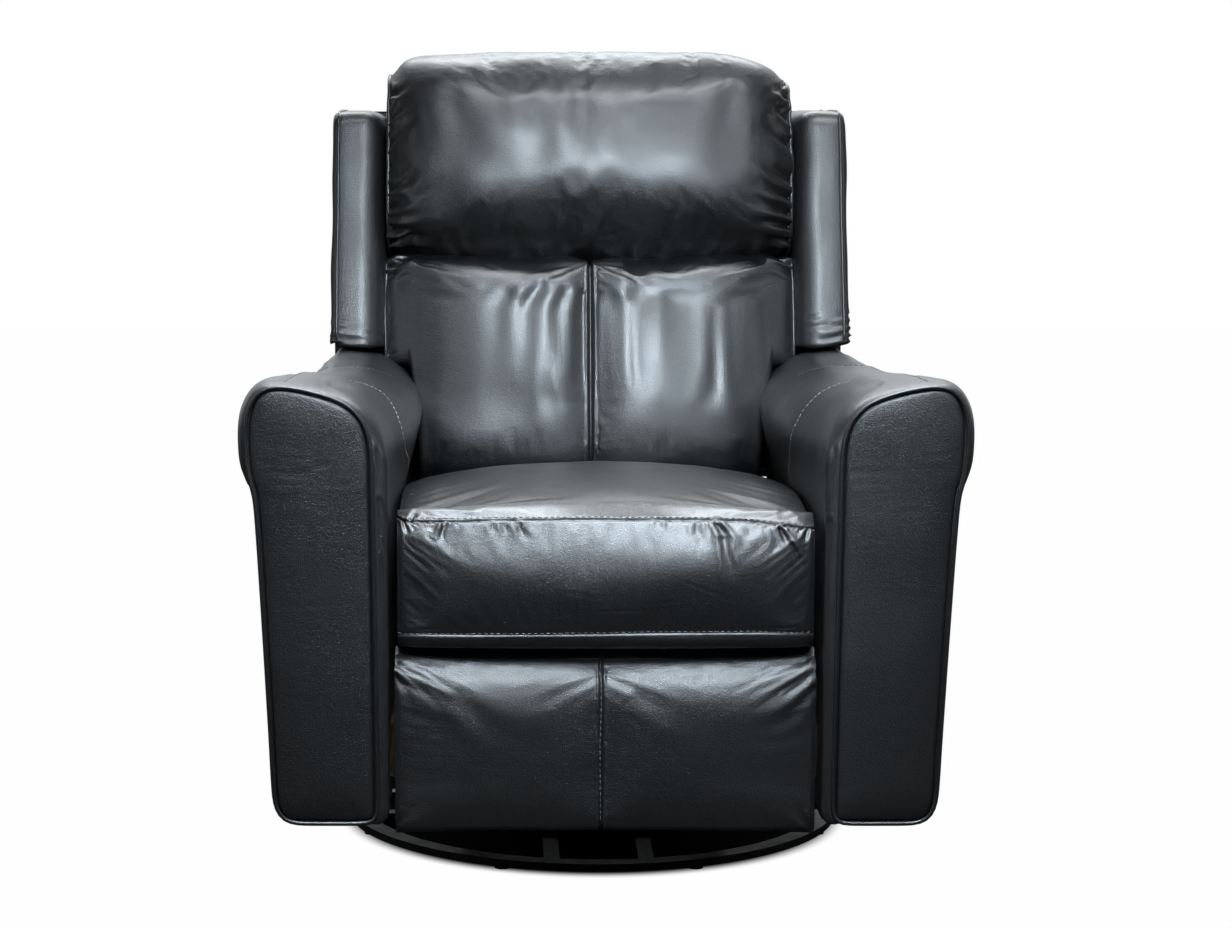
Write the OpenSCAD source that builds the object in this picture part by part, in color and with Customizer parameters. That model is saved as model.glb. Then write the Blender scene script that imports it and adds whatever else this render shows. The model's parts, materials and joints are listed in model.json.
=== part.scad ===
// Swivel glider recliner in black leather on a round floor ring.
// Origin: on the floor at the swivel axis. +Z is up and the sitter faces -Y.

/* [Floor ring and bearing] */
// Outer radius of the floor ring
ring_r = 333; // [300:1:350]
// Width of the ring's band
ring_band = 24; // [16:1:40]
// Height of the ring and of its cross rails
ring_h = 10; // [8:1:14]
// Height of the rubber pads under the ring
pad_h = 4; // [3:0.5:8]
// Distance of each cross rail from the swivel axis
rail_off = 60; // [50:1:75]
// Width of a cross rail
rail_w = 20; // [14:1:26]
// Side of the square bearing plates
bearing_side = 200; // [190:1:230]
// Radius of the circle that the bearing balls run on
ball_circle_r = 80; // [72:1:84]
// Radius of a bearing ball
ball_r = 4; // [3.5:0.1:4.3]
// Radius of the king pin
kingpin_r = 6; // [5:0.5:8]

/* [Glide] */
// Length of a glide link between its pivots
glide_link = 100; // [85:1:110]
// Distance of the glide pivots from the swivel axis, front and back
glide_pivot_y = 120; // [100:1:130]
// Height of the upper glide pivots
glide_pivot_z = 175; // [165:1:185]
// Distance of the stand's cheeks from the middle
cheek_x = 150; // [140:1:165]

/* [Seat box] */
// Half of the inner width between the arm panels
box_half = 261; // [256:1:268]
// Front of the arm faces
front_y = 500; // [490:1:520]
// Height of the arms' lower edge
box_z = 106; // [98:1:112]
// Thickness of the plywood arm panel
ply_t = 20; // [15:1:24]
// Back end of the seat box
box_back_y = 322; // [316:1:336]

/* [Arms] */
// Half width of the chair over the arm rolls
arm_half = 435; // [425:1:450]
// Height of the arm tops
arm_top_z = 633; // [620:1:640]
// Half height of the rolled arm top
arm_roll = 73; // [66:1:80]
// Back end of the upper arm
arm_back_y = 192; // [184:1:194]

/* [Seat] */
// Gap between the seat cushion and each side of the box
seat_side_gap = 12; // [11:1:17]
// Front of the seat cushion
seat_front_y = 490; // [484:1:494]
// Back of the seat cushion
seat_back_y = 20; // [10:1:24]
// Height of the seat cushion's crown
seat_top_z = 505; // [495:1:512]
// Height of the seat frame's top
seat_frame_z = 320; // [316:1:324]
// Distance between the pivots of a seat link
seat_link = 80; // [74:1:86]

/* [Footrest] */
// Gap between the footrest and each side of the box
foot_side_gap = 9; // [8:1:20]
// Lower edge of the closed footrest
foot_z = 93; // [88:1:100]
// Upper edge of the closed footrest
foot_top_z = 310; // [300:1:311]
// Distance between the end pivots of a footrest link
tong_len = 190; // [184:1:194]
// Height of the footrest's fixed pivot
tong_z = 284; // [280:1:286]

/* [Back] */
// Rake of the upright back in degrees
rake = 16; // [14.5:0.5:17]
// Distance of the recline hinge behind the swivel axis
hinge_y = 195; // [190:1:198]
// Height of the recline hinge
hinge_z = 345; // [340:1:350]
// Half width of the back over its side wings
wing_half = 358; // [350:1:366]
// Gap between the head pillow and each wing
pillow_side_gap = 5; // [3:1:14]
// Distance of the back's outer face behind the hinge, square to the rake
back_outer = 112; // [106:1:118]
// Distance of the wings' front face before the hinge, square to the rake
wing_front = 170; // [160:1:178]

/* [Hidden] */
$fn = 48;

// Overrun of every cut, and the usual clearances
over = 1;
run_gap = 0.05;
side_gap = 0.5;
seat_gap = 0.3;

// Floor ring, cross rails and the ball bearing, stacked upwards
ring_inner_r = ring_r - ring_band;
ring_mid_r = ring_r - ring_band / 2;
ring_top = pad_h + ring_h;
pad_r = 10;
pad_count = 8;
race_t = 3;
race_lift = 5;
race_half_w = 12;
groove_gap = 0.15;
groove_r = ball_r + groove_gap;
race_split = 1;
ball_count = 24;
race_z = ring_top + race_t;
ball_z = race_z + race_lift + race_split / 2;
upper_race_z = ball_z + race_split / 2;
turntable_z = upper_race_z + race_lift + race_t;
turntable_t = 4;
deck_z = turntable_z + turntable_t;
nut_h = 10;
nut_r = 10;
screw_r = 3;
screw_head_r = 6;
screw_head_h = 3;
race_screw_y = 85;
plate_screw_off = 85;

// Stand cheeks, glide links and the glide rails, from the middle outwards
plate_t = 4;
cheek_spread = 35;
cheek_half_y = glide_pivot_y + cheek_spread;
turntable_margin_x = 25;
turntable_margin_y = 10;
turntable_half_x = cheek_x + turntable_margin_x;
turntable_half_y = cheek_half_y + turntable_margin_y;
cheek_foot = 30;
cheek_head = 16;
cheek_bolt_y = 60;
glide_link_in = cheek_x + plate_t + side_gap;
glide_rail_in = glide_link_in + plate_t + side_gap;
glide_rail_out = glide_rail_in + plate_t;
glide_low_z = glide_pivot_z - glide_link;
glide_rail_below = 15;
glide_rail_z = glide_low_z - glide_rail_below;
glide_rail_top = 125;
glide_rail_half_y = 290;
glide_flange = 26;
link_w = 24;
pin_r = 6;
pin_head_r = 10;
pin_head_h = 4;
tube_side = 25;
tube_wall = 2;
tube_y = 230;
tube_top = glide_rail_top + tube_side;

// Wooden base rails and the mechanism plates on them
base_rail_h = 65;
base_rail_z = tube_top;
base_rail_front = 430;
rear_rail_t = 20;
seat_plate_inset = 35;
seat_plate_in = box_half - seat_plate_inset;
seat_plate_out = seat_plate_in + plate_t;
seat_link_in = seat_plate_out + side_gap;
mech_in = seat_link_in + plate_t + side_gap;
mech_out = mech_in + plate_t;
mech_front = 300;
mech_back = 165;

// Seat links: they lean back with the chair upright and as far forward in full recline
seat_lean = 15;
seat_link_foot = 40;
seat_link_low_z = base_rail_z + seat_link_foot;
seat_link_front_y = -260;
seat_link_rear_y = 120;
seat_pivot_shift = seat_link * sin(seat_lean);
seat_pivot_z = seat_link_low_z + seat_link * cos(seat_lean);
seat_pin_r = 5;
seat_pin_head_r = 8;
seat_pin_head_h = 2.5;

// Seat side plates, wooden seat frame and springs
seat_band = 34;
seat_band_z = seat_pivot_z - seat_band / 2;
seat_band_top = 297;
seat_lobe = 20;
slot_strap_w = 30;
seat_frame_t = 22;
seat_spacer = 9;
seat_frame_half = seat_plate_in - seat_spacer;
seat_frame_front = 428;
seat_frame_back = 150;
seat_frame_bar = 45;
spring_r = 1.8;
seat_spring_count = 5;
seat_spring_bends = 9;
cushion_z = seat_frame_z + seat_gap;
seat_half = box_half - seat_side_gap;

// Footrest tongs: links of one length cross at their middles along a tilted axis
tong_t = 3.5;
tong_w = 16;
tong_y = -350;
tong_closed = 84;
tong_open = 12;
tong_tilt = 5;
tong_pin_r = 4;
tong_roller_r = 5;
roller_gap = 0.3;
tong_outer_in = seat_plate_in - side_gap - tong_t;
tong_inner_in = tong_outer_in - side_gap - tong_t;
foot_half = box_half - foot_side_gap;
foot_back_y = 440;
foot_board_t = 12;
foot_bracket_w = 38;
foot_bracket_t = 3;
foot_board_edge = 14;

// Back: its parts are placed square to the rake, measured from the hinge
back_frame_v = 20;
back_frame_t = 22;
back_bar = 40;
back_low_half = tong_outer_in;
back_high_inset = 72;
back_high_half = wing_half - back_high_inset;
back_low_u = -20;
back_wide_u = 110;
back_top_u = 650;
back_foot_u = -15;
back_spring_count = 5;
back_spring_bends = 8;
back_panel_t = 7;
back_foot_gap = 3;
back_foot_half = box_half - back_foot_gap;

// Release handle in the left arm's outer side
release_y = -200;
release_z = 290;
bezel_l = 120;
bezel_h = 60;
bezel_t = 3;
cup_wall = 2;
cup_depth = 26;
cup_rim = 6;
paddle_t = 5;
paddle_gap = 1;
paddle_sink = 3;
paddle_pin_r = 2.5;
cable_r = 3;

leather = "#202225";
leather_trim = "#17181a";
steel = "#6f7276";
black_paint = "#1b1c1e";
wood = "#b98d58";
zinc = "#a9adb2";

// Helpers

// Both sides of the chair
module both_sides() {
    for (side = [0, 1]) {
        mirror([side, 0, 0])
        children();
    }
}

// A round bar along X from x = from to x = to
module bar_x(from, to, y, z, r) {
    translate([from, y, z])
    rotate([0, 90, 0])
    cylinder(h = to - from, r = r);
}

// A flat outline in the Y-Z plane, given thickness from x = from to x = to
module plate_x(from, to) {
    translate([from, 0, 0])
    rotate([90, 0, 90])
    linear_extrude(to - from)
    children();
}

// A flat bar with round ends between two points of a plane
module strap(a, b, w) {
    run = norm(b - a);
    translate(a)
    rotate(atan2(b[1] - a[1], b[0] - a[0]))
    union() {
        translate([0, -w / 2])
        square([run, w]);
        circle(d = w);
        translate([run, 0])
        circle(d = w);
    }
}

// A disc at a point of a plane
module spot(p, r) {
    translate(p)
    circle(r = r);
}

// An oblong with round ends, lying in a plane, centred
module oblong(l, w) {
    square([l - w, w], center = true);
    for (side = [-1, 1]) {
        spot([side * (l - w) / 2, 0], w / 2);
    }
}

// A closed body through a row of outlines with one number of points.
// All of an outline is in sight of its first point.
module skin(rings) {
    rows = len(rings);
    count = len(rings[0]);
    points = [for (ring = rings) each ring];
    start_cap = [for (k = [0:count - 1]) k];
    end_cap = [for (k = [0:count - 1]) (rows - 1) * count + (count - k) % count];
    sides = [
        for (i = [0:rows - 2])
        for (k = [0:count - 1])
        let (a = i * count + k, b = i * count + (k + 1) % count)
        each [[a, a + count, b], [b, a + count, b + count]]
    ];
    polyhedron(points = points, faces = concat([start_cap], sides, [end_cap]), convexity = 6);
}

// A rounded outline at one x: [x, front, back, bottom, top, power]
function pad_ring(s, count) = [
    for (k = [0:count - 1])
    let (
        angle = 360 * k / count,
        flat = 2 / s[5],
        across = sign(cos(angle)) * pow(abs(cos(angle)), flat),
        rise = sign(sin(angle)) * pow(abs(sin(angle)), flat)
    )
    [s[0], (s[1] + s[2]) / 2 + (s[2] - s[1]) / 2 * across, (s[3] + s[4]) / 2 + (s[4] - s[3]) / 2 * rise]
];

// A closed soft form through such outlines
module pad(stations, count) {
    skin([for (s = stations) pad_ring(s, count)]);
}

// A number that runs from a to b as t goes from 0 to 1, and a smooth step
function mix(a, b, t) = a + (b - a) * t;
function smooth(t) = t <= 0 ? 0 : t >= 1 ? 1 : t * t * (3 - 2 * t);

// Shares across a cushion from side to side, closer together at the sides and at the middle seam
across_shares = [-1, -0.985, -0.94, -0.86, -0.72, -0.5, -0.26, -0.06, -0.02, 0,
    0.02, 0.06, 0.26, 0.5, 0.72, 0.86, 0.94, 0.985, 1];

// How much of its fullness a cushion keeps near its drawn-in sides
function side_fill(t, drawn) = 1 - drawn * pow(abs(t), 10);

// A point of the back's plane: v is square to the rake, u is up along it
function back_point(v, u) = [
    hinge_y + v * cos(rake) + u * sin(rake),
    hinge_z - v * sin(rake) + u * cos(rake)
];

// The back's own axes: local Y is square to the rake and local Z is up along it
module on_back() {
    translate([0, hinge_y, hinge_z])
    rotate([-rake, 0, 0])
    children();
}

// Floor ring and swivel bearing

module floor_ring() {
    color(black_paint)
    translate([0, 0, pad_h])
    difference() {
        cylinder(h = ring_h, r = ring_r, $fn = 96);
        translate([0, 0, -over])
        cylinder(h = ring_h + 2 * over, r = ring_inner_r, $fn = 96);
    }
}

module cross_rails() {
    color(black_paint)
    difference() {
        intersection() {
            union() {
                for (side = [-1, 1]) {
                    translate([-ring_r, side * rail_off - rail_w / 2, pad_h])
                    cube([2 * ring_r, rail_w, ring_h]);
                    translate([side * rail_off - rail_w / 2, -ring_r, pad_h])
                    cube([rail_w, 2 * ring_r, ring_h]);
                }
            }
            translate([0, 0, pad_h])
            cylinder(h = ring_h, r = ring_inner_r, $fn = 96);
        }
        base_screw_shanks();
    }
}

module ring_pads() {
    color("#101010")
    for (k = [0:pad_count - 1]) {
        rotate((k + 0.5) * 360 / pad_count)
        translate([ring_mid_r, 0, 0])
        cylinder(h = pad_h, r = pad_r);
    }
}

// Where the lower bearing plate is screwed to the cross rails
module at_base_screws() {
    for (x = [-rail_off, rail_off]) {
        for (y = [-race_screw_y, race_screw_y]) {
            translate([x, y, 0])
            children();
        }
    }
}

module base_screw_shanks() {
    at_base_screws()
    translate([0, 0, pad_h + ring_h / 3])
    cylinder(h = race_z - pad_h - ring_h / 3, r = screw_r);
}

module base_screws() {
    color(zinc) {
        base_screw_shanks();
        at_base_screws()
        translate([0, 0, race_z])
        cylinder(h = screw_head_h, r = screw_head_r);
    }
}

// A bearing plate with its raised race, lying on z = 0 with the race above it
module race_body(groove_z) {
    difference() {
        union() {
            translate([-bearing_side / 2, -bearing_side / 2, 0])
            cube([bearing_side, bearing_side, race_t]);
            cylinder(h = race_t + race_lift, r = ball_circle_r + race_half_w);
        }
        translate([0, 0, race_t])
        cylinder(h = race_lift + over, r = ball_circle_r - race_half_w);
        translate([0, 0, groove_z])
        rotate_extrude()
        translate([ball_circle_r, 0])
        circle(r = groove_r);
    }
}

module bearing_lower_race() {
    color(steel)
    difference() {
        translate([0, 0, ring_top])
        race_body(ball_z - ring_top);
        translate([0, 0, ring_top - over])
        cylinder(h = race_t + 2 * over, r = kingpin_r);
        base_screw_shanks();
    }
}

module bearing_balls() {
    color(zinc)
    for (k = [0:ball_count - 1]) {
        rotate(k * 360 / ball_count)
        translate([ball_circle_r, 0, ball_z])
        sphere(r = ball_r);
    }
}

module kingpin() {
    color(zinc) {
        translate([0, 0, pad_h])
        cylinder(h = ring_h, r = nut_r, $fn = 6);
        translate([0, 0, ring_top])
        cylinder(h = deck_z + nut_h - ring_top, r = kingpin_r);
        translate([0, 0, deck_z + seat_gap])
        cylinder(h = nut_h - seat_gap, r = nut_r, $fn = 6);
    }
}

// Turntable that swivels on the bearing

module kingpin_bore() {
    translate([0, 0, upper_race_z - over])
    cylinder(h = deck_z - upper_race_z + 2 * over, r = kingpin_r + run_gap);
}

// Where the upper bearing plate is bolted to the turntable plate
module at_plate_bolts() {
    for (x = [-plate_screw_off, plate_screw_off]) {
        for (y = [-plate_screw_off, plate_screw_off]) {
            translate([x, y, 0])
            children();
        }
    }
}

// Where the cheeks' feet are bolted down
module at_cheek_bolts() {
    for (x = [-1, 1]) {
        for (y = [-2 * cheek_bolt_y, -cheek_bolt_y, cheek_bolt_y, 2 * cheek_bolt_y]) {
            translate([x * (cheek_x - cheek_foot / 2), y, 0])
            children();
        }
    }
}

module turntable_bolt_shanks() {
    at_plate_bolts()
    translate([0, 0, turntable_z - race_t])
    cylinder(h = race_t + turntable_t, r = screw_r);
    at_cheek_bolts()
    translate([0, 0, turntable_z])
    cylinder(h = turntable_t + plate_t, r = screw_r);
}

module bearing_upper_race() {
    color(steel)
    difference() {
        translate([0, 0, turntable_z])
        mirror([0, 0, 1])
        race_body(turntable_z - ball_z);
        kingpin_bore();
        turntable_bolt_shanks();
    }
}

module turntable_plate() {
    color(black_paint)
    difference() {
        translate([-turntable_half_x, -turntable_half_y, turntable_z])
        cube([2 * turntable_half_x, 2 * turntable_half_y, turntable_t]);
        kingpin_bore();
        turntable_bolt_shanks();
    }
}

module cheek_outline() {
    difference() {
        union() {
            polygon([
                [-cheek_half_y, deck_z],
                [cheek_half_y, deck_z],
                [glide_pivot_y + cheek_head, glide_pivot_z],
                [-glide_pivot_y - cheek_head, glide_pivot_z]
            ]);
            for (side = [-1, 1]) {
                spot([side * glide_pivot_y, glide_pivot_z], cheek_head);
            }
        }
        for (side = [-1, 1]) {
            spot([side * glide_pivot_y, glide_pivot_z], pin_r + run_gap);
        }
    }
}

module stand_cheeks() {
    color(black_paint)
    difference() {
        both_sides() {
            plate_x(cheek_x, cheek_x + plate_t)
            cheek_outline();
            translate([cheek_x - cheek_foot, -cheek_half_y, deck_z])
            cube([cheek_foot, 2 * cheek_half_y, plate_t]);
        }
        turntable_bolt_shanks();
    }
}

module turntable_bolts() {
    color(zinc) {
        turntable_bolt_shanks();
        at_plate_bolts()
        translate([0, 0, deck_z])
        cylinder(h = screw_head_h, r = screw_head_r);
        at_cheek_bolts()
        translate([0, 0, deck_z + plate_t])
        cylinder(h = screw_head_h, r = screw_head_r);
    }
}

// Glide links hang the carriage from the cheeks

module glide_links(y) {
    color(steel)
    both_sides()
    plate_x(glide_link_in, glide_link_in + plate_t)
    difference() {
        strap([y, glide_low_z], [y, glide_pivot_z], link_w);
        spot([y, glide_low_z], pin_r);
        spot([y, glide_pivot_z], pin_r);
    }
}

module glide_pins(y) {
    head_x = glide_rail_out + seat_gap;
    color(zinc)
    both_sides() {
        bar_x(cheek_x, glide_link_in + plate_t, y, glide_pivot_z, pin_r);
        bar_x(cheek_x - seat_gap - pin_head_h, cheek_x - seat_gap, y, glide_pivot_z, pin_head_r);
        bar_x(cheek_x - seat_gap, cheek_x, y, glide_pivot_z, pin_r);
        bar_x(glide_link_in, head_x, y, glide_low_z, pin_r);
        bar_x(head_x, head_x + pin_head_h, y, glide_low_z, pin_head_r);
    }
}

module front_glide_links() {
    glide_links(-glide_pivot_y);
}

module front_glide_pins() {
    glide_pins(-glide_pivot_y);
}

module rear_glide_links() {
    glide_links(glide_pivot_y);
}

module rear_glide_pins() {
    glide_pins(glide_pivot_y);
}

// Carriage: rails, tubes, wooden seat box and arms

module glide_rails() {
    color(black_paint)
    difference() {
        both_sides() {
            plate_x(glide_rail_in, glide_rail_out)
            difference() {
                translate([-glide_rail_half_y, glide_rail_z])
                square([2 * glide_rail_half_y, glide_rail_top - glide_rail_z]);
                for (side = [-1, 1]) {
                    spot([side * glide_pivot_y, glide_low_z], pin_r + run_gap);
                }
            }
            translate([glide_rail_in, -glide_rail_half_y, glide_rail_top - plate_t])
            cube([glide_flange, 2 * glide_rail_half_y, plate_t]);
        }
        carriage_bolt_shanks();
    }
}

module cross_tubes() {
    color(steel)
    difference() {
        for (y = [-tube_y, tube_y]) {
            translate([-box_half, y - tube_side / 2, glide_rail_top])
            difference() {
                cube([2 * box_half, tube_side, tube_side]);
                translate([-over, tube_wall, tube_wall])
                cube([2 * (box_half + over), tube_side - 2 * tube_wall, tube_side - 2 * tube_wall]);
            }
        }
        carriage_bolt_shanks();
    }
}

module mechanism_plates() {
    color(steel)
    both_sides()
    plate_x(mech_in, mech_out)
    difference() {
        translate([-mech_front, base_rail_z])
        square([mech_front + mech_back, base_rail_h]);
        for (y = [seat_link_front_y, seat_link_rear_y]) {
            spot([y, seat_link_low_z], seat_pin_r + run_gap);
        }
    }
}

module base_rails() {
    color(wood)
    difference() {
        union() {
            both_sides()
            translate([mech_out, -base_rail_front, base_rail_z])
            cube([box_half - mech_out, base_rail_front + box_back_y, base_rail_h]);
            translate([-mech_out, box_back_y - rear_rail_t, base_rail_z])
            cube([2 * mech_out, rear_rail_t, base_rail_h]);
        }
        carriage_bolt_shanks();
    }
}

// Where the arms are bolted to the base rails, and the tubes to rails and glide rails
arm_bolt_front = -400;
arm_bolt_back = 280;
arm_bolt_z = base_rail_z + base_rail_h / 2;
arm_bolt_reach = 14;
rail_bolt_x = (mech_out + box_half) / 2;
flange_bolt_x = glide_rail_in + glide_flange - screw_head_r;

module carriage_bolt_shanks() {
    both_sides() {
        for (y = [arm_bolt_front, arm_bolt_back]) {
            bar_x(mech_out, box_half + arm_bolt_reach, y, arm_bolt_z, screw_r);
        }
        for (y = [-tube_y, tube_y]) {
            translate([rail_bolt_x, y, glide_rail_top])
            cylinder(h = tube_side + base_rail_h / 2, r = screw_r);
            translate([flange_bolt_x, y, glide_rail_top - plate_t])
            cylinder(h = plate_t + tube_side, r = screw_r);
        }
    }
}

module carriage_bolts() {
    color(zinc) {
        carriage_bolt_shanks();
        both_sides() {
            for (y = [arm_bolt_front, arm_bolt_back]) {
                bar_x(mech_out - screw_head_h, mech_out, y, arm_bolt_z, screw_head_r);
            }
            for (y = [-tube_y, tube_y]) {
                translate([rail_bolt_x, y, glide_rail_top - screw_head_h])
                cylinder(h = screw_head_h, r = screw_head_r);
                translate([flange_bolt_x, y, glide_rail_top - plate_t - screw_head_h])
                cylinder(h = screw_head_h, r = screw_head_r);
            }
        }
    }
}

// Arms. The side outline of the plywood panel and of the padding's back end
arm_low_z = 400;
arm_tail_z = 310;
arm_panel_top = 520;
face_t = 16;
arm_panel_front = front_y - face_t;
arm_inner_low_z = 335;
arm_tail = 13;

module arm_panel_outline() {
    polygon([
        [-arm_panel_front, box_z + pad_h],
        [box_back_y, box_z + pad_h],
        [box_back_y, arm_tail_z - ply_t],
        [arm_back_y - ply_t, arm_low_z - ply_t],
        [arm_back_y - ply_t, arm_panel_top],
        [-arm_panel_front, arm_panel_top]
    ]);
}

module arm_frame() {
    color(wood)
    difference() {
        plate_x(box_half, box_half + ply_t)
        arm_panel_outline();
        carriage_bolt_shanks();
        translate([0, release_y, release_z])
        rotate([0, 90, 0])
        cylinder(h = arm_half, r = cable_r);
    }
}

module arm_frame_right() {
    arm_frame();
}

module arm_frame_left() {
    mirror([1, 0, 0])
    arm_frame();
}

// The arm's cross section as stations from front to back
arm_y_shares = [0, 0.06, 0.2, 0.42, 0.68, 0.86, 1];
arm_roll_shares = [1, 0.95, 0.897, 0.867, 0.84, 0.832, 0.828];
arm_waist_shares = [0.952, 0.915, 0.884, 0.856, 0.834, 0.828, 0.824];
arm_foot_shares = [0.908, 0.9, 0.885, 0.862, 0.838, 0.828, 0.822];
arm_bulge_shares = [1.02, 0.97, 0.9, 0.885, 0.885, 0.89, 0.9];
arm_top_shares = [0.99, 0.995, 0.995, 0.99, 0.985, 0.98, 0.975];
arm_arc_steps = 12;
arm_arc_from = 195;
arm_arc_to = -25;
arm_waist_z = 505;
arm_seat_z = 478;
arm_foot_round = 14;
arm_seat_gap = 7;
arm_gap_low = box_half - seat_side_gap + arm_seat_gap;

// One outline of the arm at station k: down the outer side, up the inner side and over the roll
function arm_ring(k) = let (
        y = mix(-arm_panel_front, arm_back_y, arm_y_shares[k]),
        roll = arm_half * arm_roll_shares[k],
        waist = arm_half * arm_waist_shares[k],
        foot = arm_half * arm_foot_shares[k],
        bulge = box_half * arm_bulge_shares[k],
        top = arm_top_z * arm_top_shares[k],
        low = max(arm_gap_low, bulge),
        mid = (bulge + roll) / 2,
        reach = (roll - bulge) / 2
    ) concat(
        [
            [waist, y, arm_waist_z],
            [foot, y, box_z + arm_foot_round],
            [foot - arm_foot_round, y, box_z],
            [box_half, y, box_z],
            [box_half, y, arm_inner_low_z],
            [low, y, arm_inner_low_z + ply_t],
            [low, y, arm_seat_z - ply_t]
        ],
        [
            for (i = [0:arm_arc_steps])
            let (angle = mix(arm_arc_from, arm_arc_to, i / arm_arc_steps))
            [mid + reach * cos(angle), y, top - arm_roll + arm_roll * sin(angle)]
        ]
    );

// The recess's rim lies just under the padding's face
release_face = arm_half * arm_foot_shares[3] - bezel_t;

module arm_body() {
    stations = [for (k = [0:len(arm_y_shares) - 1]) arm_ring(k)];
    last = len(arm_y_shares) - 1;
    tail_out = arm_half * arm_foot_shares[last];
    difference() {
        union() {
            skin(stations);
            plate_x(box_half, tail_out)
            polygon([
                [arm_back_y - over, box_z],
                [box_back_y + arm_tail, box_z],
                [box_back_y + arm_tail, arm_tail_z],
                [arm_back_y - over, arm_low_z]
            ]);
        }
        plate_x(box_half, box_half + ply_t)
        arm_panel_outline();
        translate([box_half - ply_t - over, -front_y, box_z - over])
        cube([ply_t + over, front_y + arm_back_y - ply_t, arm_inner_low_z - box_z]);
        translate([box_half - over, -front_y, box_z - over])
        cube([ply_t + over, front_y + box_back_y, pad_h + over]);
    }
}

module arm_padding_right() {
    color(leather)
    arm_body();
}

module arm_padding_left() {
    color(leather)
    difference() {
        mirror([1, 0, 0])
        arm_body();
        translate([-release_face, release_y, release_z])
        rotate([90, 0, 90])
        translate([0, 0, -arm_half + release_face])
        linear_extrude(arm_half - release_face + cup_depth + seat_gap)
        oblong(bezel_l - 2 * (cup_rim - seat_gap), bezel_h - 2 * (cup_rim - seat_gap));
        bar_x(-release_face, -box_half, release_y, release_z, cable_r + seat_gap);
        translate([-release_face - arm_half, release_y, release_z])
        rotate([90, 0, 90])
        linear_extrude(arm_half)
        oblong(bezel_l + 2 * seat_gap, bezel_h + 2 * seat_gap);
    }
}

// The flat front face of an arm, as the photograph shows its outline
welt_r = 3;
face_shift = 4.3;
face_inset = 11;
face_arc_steps = 24;

function arm_face() = let (
        inner = box_half + side_gap,
        outer = arm_half - face_inset,
        mid = (inner + outer) / 2 + face_shift,
        reach = outer - mid,
        turn = arm_top_z - arm_roll
    ) concat(
        [
            for (i = [0:face_arc_steps])
            let (angle = mix(arm_arc_to, 180, i / face_arc_steps))
            [mid + reach * cos(angle), turn + arm_roll * sin(angle)]
        ],
        [
            [inner, box_z],
            [arm_half * arm_foot_shares[0] - arm_foot_round, box_z],
            [arm_half * arm_foot_shares[0], box_z + arm_foot_round],
            [arm_half * arm_waist_shares[0], arm_waist_z]
        ]
    );

module face_slab(depth) {
    translate([0, -arm_panel_front, 0])
    rotate([90, 0, 0])
    linear_extrude(depth)
    children();
}

module arm_front_right() {
    color(leather)
    face_slab(face_t)
    offset(delta = -welt_r)
    polygon(arm_face());
}

module arm_front_left() {
    mirror([1, 0, 0])
    arm_front_right();
}

module arm_welt_right() {
    color(leather_trim)
    face_slab(face_t - welt_r)
    difference() {
        polygon(arm_face());
        offset(delta = -welt_r)
        polygon(arm_face());
    }
}

module arm_welt_left() {
    mirror([1, 0, 0])
    arm_welt_right();
}

skirt_t = 18;
skirt_top = 285;

module rear_skirt() {
    color(leather)
    translate([-box_half + seat_gap, box_back_y, box_z])
    cube([2 * (box_half - seat_gap), skirt_t, skirt_top - box_z]);
}

// Release handle

module at_release() {
    translate([-release_face, release_y, release_z])
    rotate([90, 0, 90])
    children();
}

module release_bezel() {
    color(black_paint)
    difference() {
        at_release()
        union() {
            translate([0, 0, -bezel_t])
            linear_extrude(bezel_t)
            oblong(bezel_l, bezel_h);
            linear_extrude(cup_depth)
            oblong(bezel_l - 2 * cup_rim, bezel_h - 2 * cup_rim);
        }
        at_release()
        translate([0, 0, -bezel_t - over])
        linear_extrude(cup_depth - cup_wall + bezel_t + over)
        oblong(bezel_l - 2 * cup_rim - 2 * cup_wall, bezel_h - 2 * cup_rim - 2 * cup_wall);
        paddle_pin(paddle_pin_r + run_gap, cup_wall);
    }
}

// The paddle fills the front of the cup, and fingers reach in behind its free end
cup_room = bezel_l - 2 * (cup_rim + cup_wall + paddle_gap);
paddle_l = 66;
paddle_h = bezel_h - 2 * (cup_rim + cup_wall + paddle_gap);
paddle_pivot_y = release_y - (cup_room - paddle_h) / 2;
paddle_pivot_x = -release_face + paddle_sink + paddle_t / 2;

module paddle_pin(r, reach) {
    h = paddle_h + 2 * paddle_gap + 2 * reach;
    translate([paddle_pivot_x, paddle_pivot_y, release_z - h / 2])
    cylinder(h = h, r = r);
}

module release_paddle() {
    color("#34373b") {
        at_release()
        translate([(paddle_l - cup_room) / 2, 0, paddle_sink])
        linear_extrude(paddle_t)
        oblong(paddle_l, paddle_h);
        paddle_pin(paddle_pin_r, cup_wall - seat_gap);
    }
}

module release_cable() {
    color("#202020")
    bar_x(-release_face + cup_depth, -mech_out - side_gap, release_y, release_z, cable_r);
}

// Seat links and the seat that they carry

module seat_links(y) {
    color(steel)
    both_sides()
    plate_x(seat_link_in, seat_link_in + plate_t)
    difference() {
        strap([y, seat_link_low_z], [y + seat_pivot_shift, seat_pivot_z], link_w);
        spot([y, seat_link_low_z], seat_pin_r);
        spot([y + seat_pivot_shift, seat_pivot_z], seat_pin_r);
    }
}

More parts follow.
